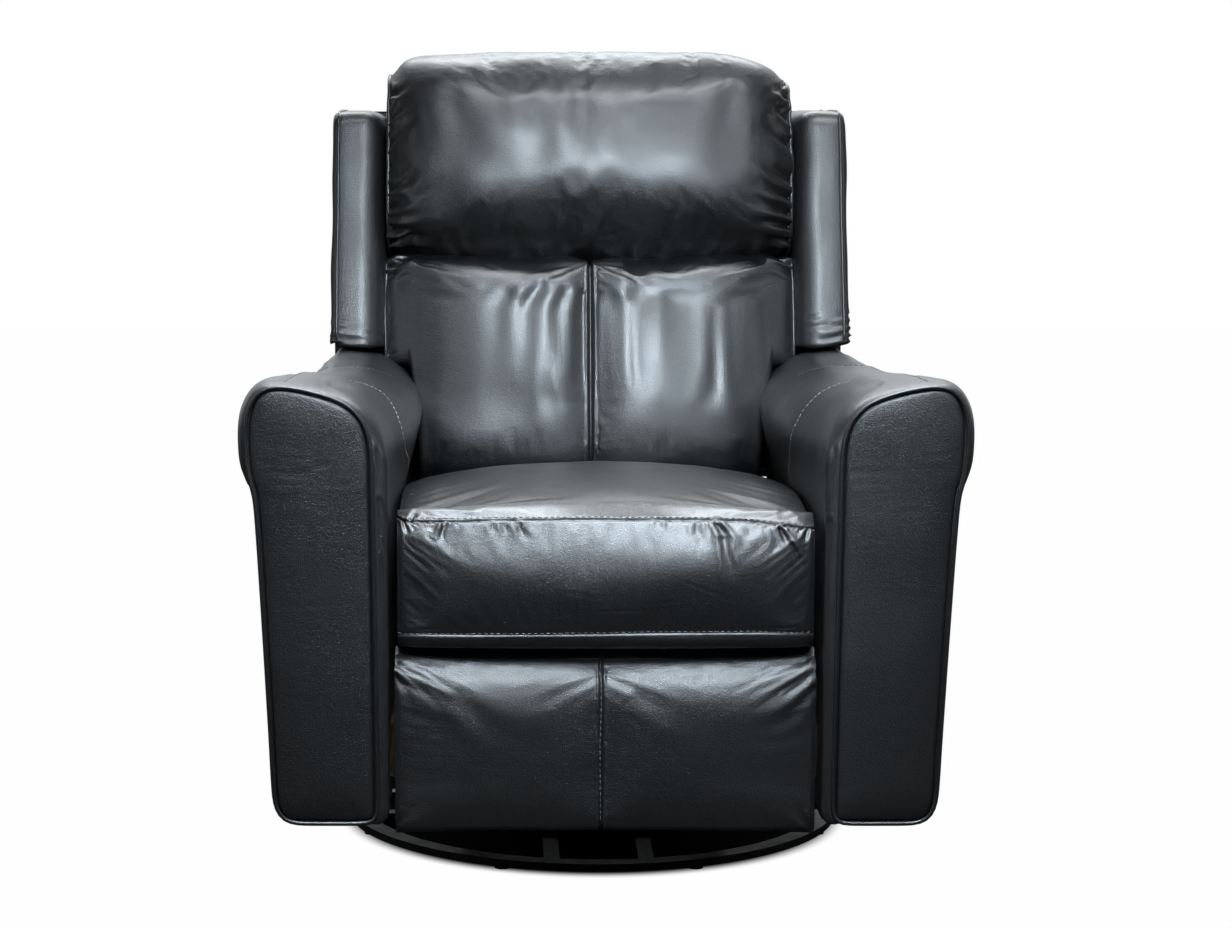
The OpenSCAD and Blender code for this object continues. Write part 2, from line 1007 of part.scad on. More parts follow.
module seat_pins(y) {
    top_y = y + seat_pivot_shift;
    head_x = seat_plate_in - seat_gap;
    color(zinc)
    both_sides() {
        bar_x(seat_link_in, mech_out - seat_gap, y, seat_link_low_z, seat_pin_r);
        bar_x(seat_link_in - seat_pin_head_h, seat_link_in, y, seat_link_low_z, seat_pin_head_r);
        bar_x(head_x, seat_link_in + plate_t, top_y, seat_pivot_z, seat_pin_r);
        bar_x(head_x - seat_pin_head_h, head_x, top_y, seat_pivot_z, seat_pin_head_r);
    }
}

module front_seat_links() {
    seat_links(seat_link_front_y);
}

module front_seat_pins() {
    seat_pins(seat_link_front_y);
}

module rear_seat_links() {
    seat_links(seat_link_rear_y);
}

module rear_seat_pins() {
    seat_pins(seat_link_rear_y);
}

// The tongs' own axes: forward along the tilted axis, and down square to it
function tong_point(out, down) = [
    tong_y - out * cos(tong_tilt) - down * sin(tong_tilt),
    tong_z + out * sin(tong_tilt) - down * cos(tong_tilt)
];
tong_pitch = tong_len * cos(tong_closed);
tong_drop = tong_len * sin(tong_closed);
function tong_top(k) = tong_point(k * tong_pitch, 0);
function tong_low(k) = tong_point(k * tong_pitch, tong_drop);
function tong_mid(k) = (tong_top(k) + tong_low(k + 1)) / 2;

// Ears of the side plates carry the wooden seat frame
seat_bolt_front = -300;
seat_bolt_back = 60;
seat_bolt_z = seat_frame_z - seat_frame_t / 2;
seat_bolt_depth = 26;
seat_ear_w = 30;
seat_ear_gap = 2;
seat_ear_top = seat_frame_z - seat_ear_gap;

module seat_side_plates() {
    slot_from = tong_point(0, tong_len * sin(tong_open) - roller_gap);
    slot_to = tong_point(0, tong_drop + roller_gap);
    color(steel)
    both_sides()
    plate_x(seat_plate_in, seat_plate_out)
    difference() {
        union() {
            translate([tong_y - seat_lobe, seat_band_z])
            square([hinge_y + seat_lobe - tong_y + seat_lobe, seat_band_top - seat_band_z]);
            translate([hinge_y - seat_lobe, seat_band_z])
            square([2 * seat_lobe, hinge_z - seat_band_z]);
            spot([hinge_y, hinge_z], seat_lobe);
            strap(tong_point(0, 0), slot_to, slot_strap_w);
            for (y = [seat_bolt_front, seat_bolt_back]) {
                translate([y - seat_ear_w / 2, seat_band_z])
                square([seat_ear_w, seat_ear_top - seat_band_z]);
            }
        }
        strap(slot_from, slot_to, 2 * (tong_roller_r + roller_gap));
        spot(tong_point(0, 0), tong_pin_r + run_gap);
        spot([hinge_y, hinge_z], seat_pin_r + run_gap);
        for (y = [seat_link_front_y, seat_link_rear_y]) {
            spot([y + seat_pivot_shift, seat_pivot_z], seat_pin_r + run_gap);
        }
        for (y = [seat_bolt_front, seat_bolt_back]) {
            spot([y, seat_bolt_z], screw_r);
        }
    }
}

module seat_frame() {
    color(wood)
    difference() {
        translate([-seat_frame_half, -seat_frame_front, seat_frame_z - seat_frame_t])
        cube([2 * seat_frame_half, seat_frame_front + seat_frame_back, seat_frame_t]);
        translate([
            -seat_frame_half + seat_frame_bar,
            -seat_frame_front + seat_frame_bar,
            seat_frame_z - seat_frame_t - over
        ])
        cube([
            2 * (seat_frame_half - seat_frame_bar),
            seat_frame_front + seat_frame_back - 2 * seat_frame_bar,
            seat_frame_t + 2 * over
        ]);
        seat_bolt_shanks();
    }
}

module seat_bolt_shanks() {
    both_sides()
    for (y = [seat_bolt_front, seat_bolt_back]) {
        bar_x(seat_frame_half - seat_bolt_depth, seat_plate_out, y, seat_bolt_z, screw_r);
    }
}

// Each bolt runs through the plate's ear and a spacer into the wooden frame
module seat_bolts() {
    color(zinc) {
        seat_bolt_shanks();
        both_sides()
        for (y = [seat_bolt_front, seat_bolt_back]) {
            bar_x(seat_frame_half, seat_plate_in, y, seat_bolt_z, screw_head_r);
            bar_x(seat_plate_out, seat_plate_out + screw_head_h, y, seat_bolt_z, screw_head_r);
        }
    }
}

// A sinuous spring: a wire that weaves from side to side along its length, lying in the X-Y plane
module sinuous(length, bends, sway) {
    step = length / bends;
    for (k = [0:bends - 1]) {
        side = k % 2 == 0 ? 1 : -1;
        translate([-side * sway, k * step, 0])
        rotate([0, 90, 0])
        rotate([side > 0 ? 0 : 180, 0, 0])
        cylinder(h = 2 * sway, r = spring_r, $fn = 8);
        if (k < bends - 1) {
            translate([side * sway, k * step, 0])
            rotate([-90, 0, 0])
            cylinder(h = step, r = spring_r, $fn = 8);
        }
    }
}

spring_sway = 18;

module seat_springs() {
    length = seat_frame_front + seat_frame_back - 2 * (seat_frame_bar + spring_r);
    reach = seat_frame_half - 2 * seat_frame_bar;
    color(steel)
    for (k = [0:seat_spring_count - 1]) {
        translate([
            mix(-reach, reach, k / (seat_spring_count - 1)),
            -seat_frame_front + seat_frame_bar + spring_r,
            seat_frame_z - spring_r
        ])
        sinuous(length * seat_spring_bends / (seat_spring_bends - 1), seat_spring_bends, spring_sway);
    }
}

// Seat cushion: boxed front, crowned top and drawn-in sides
seat_edge_z = 468;
seat_drawn_share = 0.03;
seat_power = 5;

module seat_cushion() {
    color(leather)
    pad([
        for (t = across_shares)
        let (fill = side_fill(t, seat_drawn_share), depth = seat_front_y - seat_back_y)
        [
            t * seat_half,
            -seat_front_y + (1 - fill) * depth / 2,
            seat_back_y - (1 - fill) * depth / 2,
            cushion_z,
            mix(seat_top_z, seat_edge_z, t * t),
            seat_power
        ]
    ], 36);
}

// Footrest tongs

module tong(from, to, bores, x) {
    plate_x(x, x + tong_t)
    difference() {
        strap(from, to, tong_w);
        for (p = bores) {
            spot(p, tong_pin_r + run_gap);
        }
    }
}

module tong_pin(p, from, to) {
    bar_x(from, to, p[0], p[1], tong_pin_r);
}

module tong_base_outer() {
    color(steel)
    both_sides() {
        tong(tong_top(0), tong_low(1), [], tong_outer_in);
        tong_pin(tong_top(0), tong_outer_in + tong_t, seat_plate_out);
        tong_pin(tong_mid(0), tong_inner_in, tong_outer_in);
        tong_pin(tong_low(1), tong_inner_in, tong_outer_in);
    }
}

module tong_base_inner() {
    roller = tong_low(0);
    color(steel)
    both_sides() {
        tong(tong_low(0), tong_top(1), [tong_mid(0)], tong_inner_in);
        bar_x(tong_inner_in + tong_t, seat_plate_out, roller[0], roller[1], tong_roller_r);
        tong_pin(tong_top(1), tong_inner_in + tong_t, tong_outer_in + tong_t);
    }
}

module tong_mid_outer() {
    color(steel)
    both_sides() {
        tong(tong_top(1), tong_low(2), [tong_top(1)], tong_outer_in);
        tong_pin(tong_mid(1), tong_inner_in, tong_outer_in);
        tong_pin(tong_low(2), tong_inner_in, tong_outer_in);
    }
}

module tong_mid_inner() {
    color(steel)
    both_sides() {
        tong(tong_low(1), tong_top(2), [tong_low(1), tong_mid(1)], tong_inner_in);
        tong_pin(tong_top(2), tong_inner_in + tong_t, tong_outer_in + tong_t);
    }
}

module tong_end_inner() {
    color(steel)
    both_sides()
    tong(tong_low(2), tong_mid(2), [tong_low(2), tong_mid(2)], tong_inner_in);
}

foot_screw_z_shares = [0.35, 0.65, 0.85];
foot_bracket_low = foot_z + foot_board_edge;
foot_bracket_top = foot_top_z - 2 * foot_board_edge;

module footrest_screw_shanks() {
    both_sides()
    for (share = foot_screw_z_shares) {
        translate([
            tong_outer_in - foot_bracket_w / 2,
            -foot_back_y + foot_bracket_t,
            mix(foot_bracket_low, foot_bracket_top, share)
        ])
        rotate([90, 0, 0])
        cylinder(h = foot_bracket_t + foot_board_t * 0.75, r = screw_r);
    }
}

// The last outer links carry a flange that the footrest board is screwed to
module footrest_brackets() {
    color(steel)
    difference() {
        both_sides() {
            plate_x(tong_outer_in, tong_outer_in + tong_t)
            difference() {
                union() {
                    strap(tong_top(2), tong_low(3), tong_w);
                    polygon([
                        tong_top(2),
                        tong_low(3),
                        [-foot_back_y, foot_bracket_low],
                        [-foot_back_y, foot_bracket_top]
                    ]);
                }
                spot(tong_top(2), tong_pin_r + run_gap);
            }
            translate([tong_outer_in + tong_t - foot_bracket_w, -foot_back_y, foot_bracket_low])
            cube([foot_bracket_w, foot_bracket_t, foot_bracket_top - foot_bracket_low]);
            tong_pin(tong_mid(2), tong_inner_in, tong_outer_in);
        }
        footrest_screw_shanks();
    }
}

module board_block(depth) {
    translate([-foot_half + foot_board_edge, -foot_back_y - foot_board_t, foot_z + foot_board_edge / 2])
    cube([2 * (foot_half - foot_board_edge), depth, foot_top_z - foot_z - foot_board_edge]);
}

module footrest_board() {
    color(wood)
    difference() {
        board_block(foot_board_t);
        footrest_screw_shanks();
    }
}

module footrest_screws() {
    color(zinc) {
        footrest_screw_shanks();
        both_sides()
        for (share = foot_screw_z_shares) {
            translate([
                tong_outer_in - foot_bracket_w / 2,
                -foot_back_y + foot_bracket_t + screw_head_h,
                mix(foot_bracket_low, foot_bracket_top, share)
            ])
            rotate([90, 0, 0])
            cylinder(h = screw_head_h, r = screw_head_r);
        }
    }
}

// Footrest pad: wraps the board's face and edges, with a seam down its middle
foot_seam = 3;
foot_drawn_share = 0.012;
foot_power = 7;

module footrest_pad() {
    color(leather)
    difference() {
        pad([
            for (t = across_shares)
            let (
                fill = side_fill(t, foot_drawn_share),
                height = foot_top_z - foot_z,
                sunk = abs(t) < 0.01 ? foot_seam : 0
            )
            [
                t * foot_half,
                -seat_front_y + sunk + (1 - fill) * height,
                -foot_back_y,
                foot_z + (1 - fill) * height / 2,
                foot_top_z - (1 - fill) * height / 2,
                foot_power
            ]
        ], 32);
        board_block(foot_board_t + over);
    }
}

// Back

module back_bar_at(half, v, u, length) {
    translate([-half, v, u])
    cube([2 * half, back_frame_t, length]);
}

module back_frame() {
    color(wood)
    difference() {
        on_back() {
            both_sides() {
                translate([back_low_half - back_bar, back_frame_v, back_low_u])
                cube([back_bar, back_frame_t, back_top_u - back_low_u]);
                translate([back_high_half - back_bar, back_frame_v, back_wide_u])
                cube([back_bar, back_frame_t, back_top_u - back_wide_u]);
            }
            back_bar_at(back_low_half, back_frame_v, back_low_u, back_bar);
            back_bar_at(back_high_half, back_frame_v, back_wide_u, back_bar);
            back_bar_at(back_high_half, back_frame_v, back_top_u - back_bar, back_bar);
        }
        hinge_bolt_shanks();
    }
}

module back_springs() {
    length = back_top_u - back_wide_u - back_bar;
    color(steel)
    on_back()
    for (k = [0:back_spring_count - 1]) {
        x = mix(-back_low_half + 2 * back_bar, back_low_half - 2 * back_bar, k / (back_spring_count - 1));
        translate([x, back_frame_v - spring_r, back_wide_u + back_bar / 2])
        rotate([90, 0, 0])
        sinuous(length * back_spring_bends / (back_spring_bends - 1), back_spring_bends, spring_sway);
    }
}

// Lumbar cushion: wide above the arms, narrow between them, with a seam down its middle
pillow_low_u = 382;
cushion_rear_v = back_frame_v - 2 * spring_r - seat_gap;
lumbar_half = back_high_half - side_gap * 2;
lumbar_low_gap = 56;
lumbar_low_u = 58;
lumbar_step_u = 290;
lumbar_top_u = pillow_low_u - side_gap;
lumbar_crown = 182;
lumbar_edge = 120;
lumbar_seam = 5;
lumbar_step_share = (box_half - lumbar_low_gap) / lumbar_half;
lumbar_run_share = 0.14;
lumbar_side_drop = 10;
lumbar_power = 4;

module lumbar_cushion() {
    color(leather)
    on_back()
    pad([
        for (t = concat([-1, -0.97, -0.9, -0.84, -0.8, -0.76, -0.7],
            [for (s = [-6:6]) s / 10], [0.7, 0.76, 0.8, 0.84, 0.9, 0.97, 1]))
        let (
            sunk = abs(t) < 0.01 ? lumbar_seam : 0,
            step = smooth((abs(t) - lumbar_step_share) / lumbar_run_share)
        )
        [
            t * lumbar_half,
            -mix(lumbar_crown, lumbar_edge, pow(abs(t), 4)) + sunk,
            cushion_rear_v,
            mix(lumbar_low_u, lumbar_step_u, step),
            lumbar_top_u - lumbar_side_drop * pow(abs(t), 6),
            lumbar_power
        ]
    ], 32);
}

// Head pillow: full and soft, drawn in at its side seams
pillow_top_u = 681;
pillow_half = back_high_half - pillow_side_gap;
pillow_front = 224;
pillow_power = 2.8;
pillow_side_share = 0.24;

module head_pillow() {
    color(leather)
    on_back()
    pad([
        for (t = across_shares)
        let (fill = side_fill(t, pillow_side_share), mid = (pillow_low_u + pillow_top_u) / 2)
        [
            t * pillow_half,
            -pillow_front * fill,
            cushion_rear_v,
            mix(mid, pillow_low_u, fill),
            mix(mid, pillow_top_u, fill),
            pillow_power
        ]
    ], 32);
}

// A height on a line of the back that is v behind the hinge, as its distance up the rake
function rise_to(z, v) = (z - hinge_z + v * sin(rake)) / cos(rake);
function on_line(v, z) = back_point(v, rise_to(z, v));

wing_low_z = 635;
wing_top_z = 958;
wing_lobe_z = 430;
wing_gap = 13;
wing_t = back_high_inset;
wing_nose = 30;
wing_nose_steps = 5;
wing_round_shares = [0.35, 0.08, 0, 0, 0.1, 0.4];
wing_layer_shares = [0, 0.06, 0.2, 0.7, 0.92, 1];
wing_inset = 14;

// The side outline of a wing, drawn in by a little at its faces
function wing_outline(inset) = let (
        front = -wing_front + inset,
        rear = back_outer - back_panel_t,
        top = wing_top_z - inset,
        step_y = arm_back_y + wing_gap + inset,
        nose = on_line(front, top)
    ) concat(
        [[step_y, wing_low_z + inset], on_line(front, wing_low_z + inset)],
        [
            for (i = [0:wing_nose_steps])
            let (angle = mix(180, 90, i / wing_nose_steps))
            nose + wing_nose * [1 + cos(angle), -1 + sin(angle)]
        ],
        [
            on_line(rear, top),
            on_line(rear, wing_lobe_z + inset),
            [step_y, wing_lobe_z + inset]
        ]
    );

module back_wing_right() {
    color(leather)
    skin([
        for (k = [0:len(wing_layer_shares) - 1])
        [
            for (p = wing_outline(wing_inset * wing_round_shares[k]))
            [back_high_half + wing_t * wing_layer_shares[k], p[0], p[1]]
        ]
    ]);
}

module back_wing_left() {
    mirror([1, 0, 0])
    back_wing_right();
}

// The outside back: a panel over the wings that narrows between the arms, with a cap at its top
module outside_back() {
    rear = back_outer - back_panel_t;
    top_u = rise_to(wing_top_z, rear);
    lobe_u = rise_to(wing_lobe_z, rear);
    color(leather)
    on_back() {
        translate([0, back_outer, 0])
        rotate([90, 0, 0])
        linear_extrude(back_panel_t)
        union() {
            translate([-wing_half, lobe_u])
            square([2 * wing_half, top_u - lobe_u]);
            translate([-back_foot_half, back_foot_u])
            square([2 * back_foot_half, lobe_u - back_foot_u + over]);
        }
        translate([-back_high_half + side_gap, back_frame_v, top_u - back_panel_t])
        cube([2 * (back_high_half - side_gap), rear - back_frame_v + over, back_panel_t]);
    }
}

// Recline hinge plates, bolted to the outer sides of the frame's stiles
hinge_plate_w = 36;
hinge_bolt_shares = [0.55, 0.95];
hinge_bolt_depth = 24;
hinge_plate_u = 88;
hinge_top = [back_frame_v + back_frame_t / 2, hinge_plate_u];

module at_hinge_bolts() {
    for (share = hinge_bolt_shares) {
        translate([0, hinge_top[0] * share, hinge_top[1] * share])
        children();
    }
}

module hinge_bolt_shanks() {
    on_back()
    both_sides()
    at_hinge_bolts()
    bar_x(back_low_half - hinge_bolt_depth, seat_plate_in - side_gap, 0, 0, screw_r);
}

module back_hinge_plates() {
    color(steel)
    difference() {
        on_back()
        both_sides()
        plate_x(back_low_half, seat_plate_in - side_gap)
        difference() {
            strap([0, 0], hinge_top, hinge_plate_w);
            spot([0, 0], seat_pin_r);
        }
        hinge_bolt_shanks();
    }
}

module back_bolts() {
    head_x = seat_plate_out + seat_gap;
    plate_out = seat_plate_in - side_gap;
    color(zinc) {
        hinge_bolt_shanks();
        on_back()
        both_sides() {
            bar_x(back_low_half, head_x, 0, 0, seat_pin_r);
            bar_x(head_x, head_x + seat_pin_head_h, 0, 0, seat_pin_head_r);
            at_hinge_bolts()
            bar_x(plate_out, plate_out + screw_head_h, 0, 0, screw_head_r);
        }
    }
}

floor_ring();
cross_rails();
ring_pads();
bearing_lower_race();
bearing_balls();
kingpin();
base_screws();
bearing_upper_race();
turntable_plate();
stand_cheeks();
turntable_bolts();
front_glide_links();
front_glide_pins();
rear_glide_links();
rear_glide_pins();
glide_rails();
cross_tubes();
mechanism_plates();
base_rails();
arm_frame_left();
arm_frame_right();
arm_padding_left();
arm_padding_right();
arm_front_left();
arm_front_right();
arm_welt_left();
arm_welt_right();
release_bezel();
release_cable();
carriage_bolts();
rear_skirt();
release_paddle();
front_seat_links();
front_seat_pins();
rear_seat_links();
rear_seat_pins();
seat_side_plates();
seat_frame();
seat_springs();
seat_cushion();
seat_bolts();
tong_base_outer();
tong_base_inner();
tong_mid_outer();
tong_mid_inner();
footrest_brackets();
tong_end_inner();
footrest_board();
footrest_pad();
footrest_screws();
back_frame();
back_springs();
lumbar_cushion();
head_pillow();
back_wing_left();
back_wing_right();
outside_back();
back_hinge_plates();
back_bolts();
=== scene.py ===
# %% [markdown]
# # A black leather swivel glider recliner
# The CAD model gives every part its real size and place. This script keeps that frame and dresses it:
# each cushion becomes a sewn, stuffed leather form, and every metal, wood and plastic part gets a finish.
# Lengths are worked out in millimetres, as an upholsterer would say them, and turned into metres at the end.

# %% Load the frame
import json
import math
from collections import namedtuple

import bmesh
import bpy
import numpy as np
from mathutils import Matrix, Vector, noise
from mathutils.bvhtree import BVHTree


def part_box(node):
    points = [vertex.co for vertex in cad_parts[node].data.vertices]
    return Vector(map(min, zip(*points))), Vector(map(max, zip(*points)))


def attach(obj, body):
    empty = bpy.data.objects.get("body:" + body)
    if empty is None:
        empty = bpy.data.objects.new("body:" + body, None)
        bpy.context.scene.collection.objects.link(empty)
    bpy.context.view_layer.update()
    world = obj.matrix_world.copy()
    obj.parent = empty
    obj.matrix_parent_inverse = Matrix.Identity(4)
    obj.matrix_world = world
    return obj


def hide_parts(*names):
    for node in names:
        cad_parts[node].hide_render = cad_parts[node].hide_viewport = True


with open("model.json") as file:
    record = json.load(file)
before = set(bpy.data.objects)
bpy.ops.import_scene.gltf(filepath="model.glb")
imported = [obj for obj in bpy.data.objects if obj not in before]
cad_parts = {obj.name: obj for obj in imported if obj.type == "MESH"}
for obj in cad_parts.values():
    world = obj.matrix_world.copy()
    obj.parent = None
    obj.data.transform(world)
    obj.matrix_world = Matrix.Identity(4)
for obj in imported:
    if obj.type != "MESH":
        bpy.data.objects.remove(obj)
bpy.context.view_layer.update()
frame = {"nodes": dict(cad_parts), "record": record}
nodes = frame["nodes"]

# %% [markdown]
# ## Writing shaders as sums
# A shader is a graph of nodes, which is tedious to wire by hand. Here one small class stands for a node's
# output, and Python's own + - * / on it add the Math nodes. Everything else goes through one method that
# takes the node's type, its settings and the values or links of its sockets.

# %% A node's output, and a finish that grows node by node
class Level:
    """One output of a node, which can take part in sums."""

    def __init__(self, finish, socket):
        self.finish, self.socket = finish, socket

    def sum(self, operation, first, second):
        return self.finish.node("ShaderNodeMath", {"operation": operation}, {0: first, 1: second})

    def __add__(self, other):
        return self.sum("ADD", self, other)

    __radd__ = __add__

    def __sub__(self, other):
        return self.sum("SUBTRACT", self, other)

    def __rsub__(self, other):
        return self.sum("SUBTRACT", other, self)

    def __mul__(self, other):
        return self.sum("MULTIPLY", self, other)

    __rmul__ = __mul__


class Finish:
    """A material, or another owner of a node graph, that is built one node at a time."""

    def __init__(self, name, owner=None):
        self.material = owner or bpy.data.materials.new(name)
        self.material.use_nodes = True
        self.tree = self.material.node_tree
        self.tree.nodes.clear()

    def node(self, kind, settings=None, inputs=None, output=0):
        made = self.tree.nodes.new(kind)
        for key, value in (settings or {}).items():
            setattr(made, key, value)
        for key, value in (inputs or {}).items():
            if isinstance(value, Level):
                self.tree.links.new(value.socket, made.inputs[key])
            else:
                made.inputs[key].default_value = value
        return None if output is None else Level(self, made.outputs[output])

    def place(self, stretch=(1, 1, 1)):
        """The point of the piece itself, in metres, so that the finish stays put when the piece moves."""
        here = self.node("ShaderNodeTexCoord", output="Object")
        return self.node("ShaderNodeMapping", None, {"Vector": here, "Scale": stretch})

    def cloud(self, where, size, detail=2.0, warp=0.0):
        """Soft noise from 0 to 1 whose blobs are about size metres wide."""
        return self.node("ShaderNodeTexNoise", None,
                         {"Vector": where, "Scale": 1 / size, "Detail": detail, "Distortion": warp})

    def ease(self, value, low, high, out_low=0.0, out_high=1.0):
        """Runs smoothly from out_low to out_high as value goes from low to high."""
        return self.node("ShaderNodeMapRange", {"interpolation_type": "SMOOTHSTEP"},
                         {"Value": value, "From Min": low, "From Max": high,
                          "To Min": out_low, "To Max": out_high})

    def tint(self, share, low, high):
        """A colour between two, by share."""
        return self.node("ShaderNodeMix", {"data_type": "RGBA"},
                         {0: share, 6: (*low, 1), 7: (*high, 1)}, output=2)

    def relief(self, height, depth, under=None, strength=1.0):
        """Height as a bump of depth metres, on top of another bump."""
        inputs = {"Height": height, "Distance": depth, "Strength": strength}
        if under is not None:
            inputs["Normal"] = under
        return self.node("ShaderNodeBump", None, inputs)

    def show(self, surface):
        self.node("ShaderNodeOutputMaterial", None, {"Surface": surface}, output=None)
        return self.material

    def done(self, **sockets):
        named = {key.replace("_", " "): value for key, value in sockets.items()}
        return self.show(self.node("ShaderNodeBsdfPrincipled", None, named))


print("shader helpers ready")

# %% [markdown]
# ## Leather
# Corrected-grain leather has pebbles of one to three millimetres with fine creases between them, short
# wrinkles that lie level where the hide was stretched sideways, soft clouds in its dye, and a finish that
# is a little glossier where it is tight. The pebbles are cells of a Voronoi pattern, read as the distance
# to the nearest cell wall, so that the walls become the creases.

# %% The leather finishes
PEBBLE, PORE, WRINKLE, BUCKLE, CLOUD = 0.0021, 0.0008, 0.0026, 0.019, 0.12
BUCKLE_DEPTH = 0.0009
WANDER, WANDER_REACH = 0.005, 0.0016
PEBBLE_STRETCH, WRINKLE_STRETCH = (0.8, 0.8, 1.15), (0.28, 0.28, 1.0)


def leather(name, dark, light, smooth, rough, grain=0.0002, wrinkle=0.00014, coat=0.3):
    finish = Finish(name)
    where = finish.place(PEBBLE_STRETCH)
    level = finish.place(WRINKLE_STRETCH)
    wander = finish.node("ShaderNodeTexNoise", None,
                         {"Vector": where, "Scale": 1 / WANDER, "Detail": 1.0}, output="Color")
    bent = finish.node("ShaderNodeVectorMath", {"operation": "MULTIPLY_ADD"},
                       {0: wander, 1: (WANDER_REACH,) * 3, 2: where})
    wall = finish.node("ShaderNodeTexVoronoi", {"feature": "DISTANCE_TO_EDGE"},
                       {"Vector": bent, "Scale": 1 / PEBBLE}, output="Distance")
    pebble = finish.ease(wall, 0.0, 0.34)
    pores = finish.cloud(where, PORE, 1.0)
    lines = finish.ease(finish.cloud(level, WRINKLE, 3.0, 0.8), 0.36, 0.56)
    buckles = finish.cloud(where, BUCKLE, 3.0, 0.4)
    clouds = finish.cloud(where, CLOUD, 2.0)
    patch = finish.ease(clouds, 0.4, 0.66)
    broad = finish.relief(buckles, BUCKLE_DEPTH, strength=0.4)
    lined = finish.relief(lines * (patch * 0.7 + 0.3), wrinkle, broad, strength=0.7)
    fine = finish.relief(pebble + pores * 0.3, grain, lined, strength=0.8)
    gloss = finish.ease(clouds, 0.3, 0.7, rough, smooth)
    dye = finish.tint(finish.ease(clouds * 0.6 + buckles * 0.4, 0.35, 0.65), dark, light)
    return finish.done(Base_Color=dye, Roughness=gloss + (1 - pebble) * 0.1, Normal=fine,
                       Coat_Weight=coat, Coat_Roughness=0.3)


leather_main = leather("leather", (0.0022, 0.0023, 0.0026), (0.0038, 0.004, 0.0045), 0.33, 0.4)
leather_flat = leather("leather_flat", (0.0022, 0.0023, 0.0025), (0.0038, 0.0039, 0.0042), 0.34, 0.42,
                       grain=0.00022, wrinkle=0.00012, coat=0.15)
leather_welt = leather("leather_welt", (0.0018, 0.0018, 0.002), (0.003, 0.003, 0.0034), 0.32, 0.4,
                       grain=0.0001, wrinkle=0.0001)
print("leather finishes:", leather_main.name, leather_flat.name, leather_welt.name)

# %% [markdown]
# ## Metal, wood, rubber and plastic
# Each has its own small story: paint has a faint orange peel and dust, rolled steel has lines along it,
# zinc plating has a blotchy spangle, the wood has grain along one axis, and moulded plastic has a fine
# spark-eroded texture. The thread of the stitches is made the same way. The wood's dark brown is painted
# shade, so that the frame seen through the gaps under the chair reads as black.

# %% The hard finishes
def speckled(name, dark, light, size, smooth, rough, bump, metallic=0.0, stretch=(1, 1, 1), detail=3.0):
    finish = Finish(name)
    where = finish.place(stretch)
    grain = finish.cloud(where, size, detail, 0.3)
    patches = finish.cloud(where, size * 14, 2.0)
    tone = finish.tint(finish.ease(grain * 0.5 + patches * 0.5, 0.35, 0.65), dark, light)
    gloss = finish.ease(patches, 0.3, 0.7, smooth, rough)
    return finish.done(Base_Color=tone, Roughness=gloss, Metallic=metallic,
                       Normal=finish.relief(grain, bump))


ALONG_Y = (1, 0.08, 1)
paint = speckled("black_paint", (0.008, 0.008, 0.009), (0.014, 0.014, 0.015), 0.0012, 0.3, 0.42, 0.00006)
steel = speckled("rolled_steel", (0.2, 0.21, 0.22), (0.32, 0.33, 0.34), 0.0016, 0.36, 0.5, 0.00003,
                 metallic=1.0, stretch=ALONG_Y)
zinc = speckled("zinc_plate", (0.42, 0.43, 0.45), (0.58, 0.59, 0.61), 0.003, 0.25, 0.4, 0.00003, metallic=1.0)
rubber = speckled("rubber", (0.012, 0.012, 0.012), (0.022, 0.022, 0.022), 0.0009, 0.7, 0.85, 0.00008)
plastic = speckled("moulded_plastic", (0.018, 0.019, 0.021), (0.026, 0.027, 0.03), 0.0006, 0.36, 0.44, 0.00005)
# Painted shade: the wood is dark brown so that the frame seen through the gaps under the chair reads as black;
# its grain is its own.
shade_darkened_wood = speckled("shade_darkened_wood", (0.022, 0.014, 0.009), (0.045, 0.029, 0.018), 0.004, 0.55, 0.7, 0.0002,
                        stretch=ALONG_Y, detail=5.0)
thread = speckled("thread", (0.09, 0.09, 0.092), (0.14, 0.14, 0.143), 0.0006, 0.6, 0.75, 0.0001)
thread_dark = speckled("thread_dark", (0.035, 0.035, 0.036), (0.06, 0.06, 0.062), 0.0006, 0.6, 0.75, 0.0001)

finish_of = {"black_paint": paint, "steel": steel, "zinc": zinc, "rubber": rubber, "plastic": plastic,
             "wood": shade_darkened_wood, "leather": leather_main, "leather_trim": leather_welt}
for part in frame["record"]["subparts"]:
    mesh = nodes[part["node"]].data
    mesh.materials.clear()
    mesh.materials.append(finish_of[part["material_slot"]])

# %% [markdown]
# ## The camera's place
# The camera stands a little to the left, almost four metres away, and looks down by seven degrees. Seams
# and folds were measured on the photograph, so two helpers turn a point of a piece into a column and row of
# a picture 1232 wide and 928 high, and find the place on a piece that such a column and row shows.

# %% Camera
MM = 0.001
PICTURE_WIDE, PICTURE_HIGH = 1232, 928
LENS, SENSOR, AIM_COLUMN = 82.4, 36, 496
EYE = np.array((-131.0, -3800.0, 948.0))
TILT = math.radians(7)
AHEAD = np.array((0, math.cos(TILT), -math.sin(TILT)))
ABOVE = np.array((0, math.sin(TILT), math.cos(TILT)))
RIGHT = np.array((1.0, 0, 0))
FOCAL = LENS / SENSOR * PICTURE_WIDE

camera_data = bpy.data.cameras.new("camera")
camera_data.sensor_width = SENSOR
camera_data.lens = LENS
camera_data.shift_x = (PICTURE_WIDE / 2 - AIM_COLUMN) / PICTURE_WIDE
camera = bpy.data.objects.new("camera", camera_data)
camera.location = EYE * MM
camera.rotation_euler = (math.pi / 2 - TILT, 0, 0)
scene = bpy.context.scene
scene.collection.objects.link(camera)
scene.camera = camera


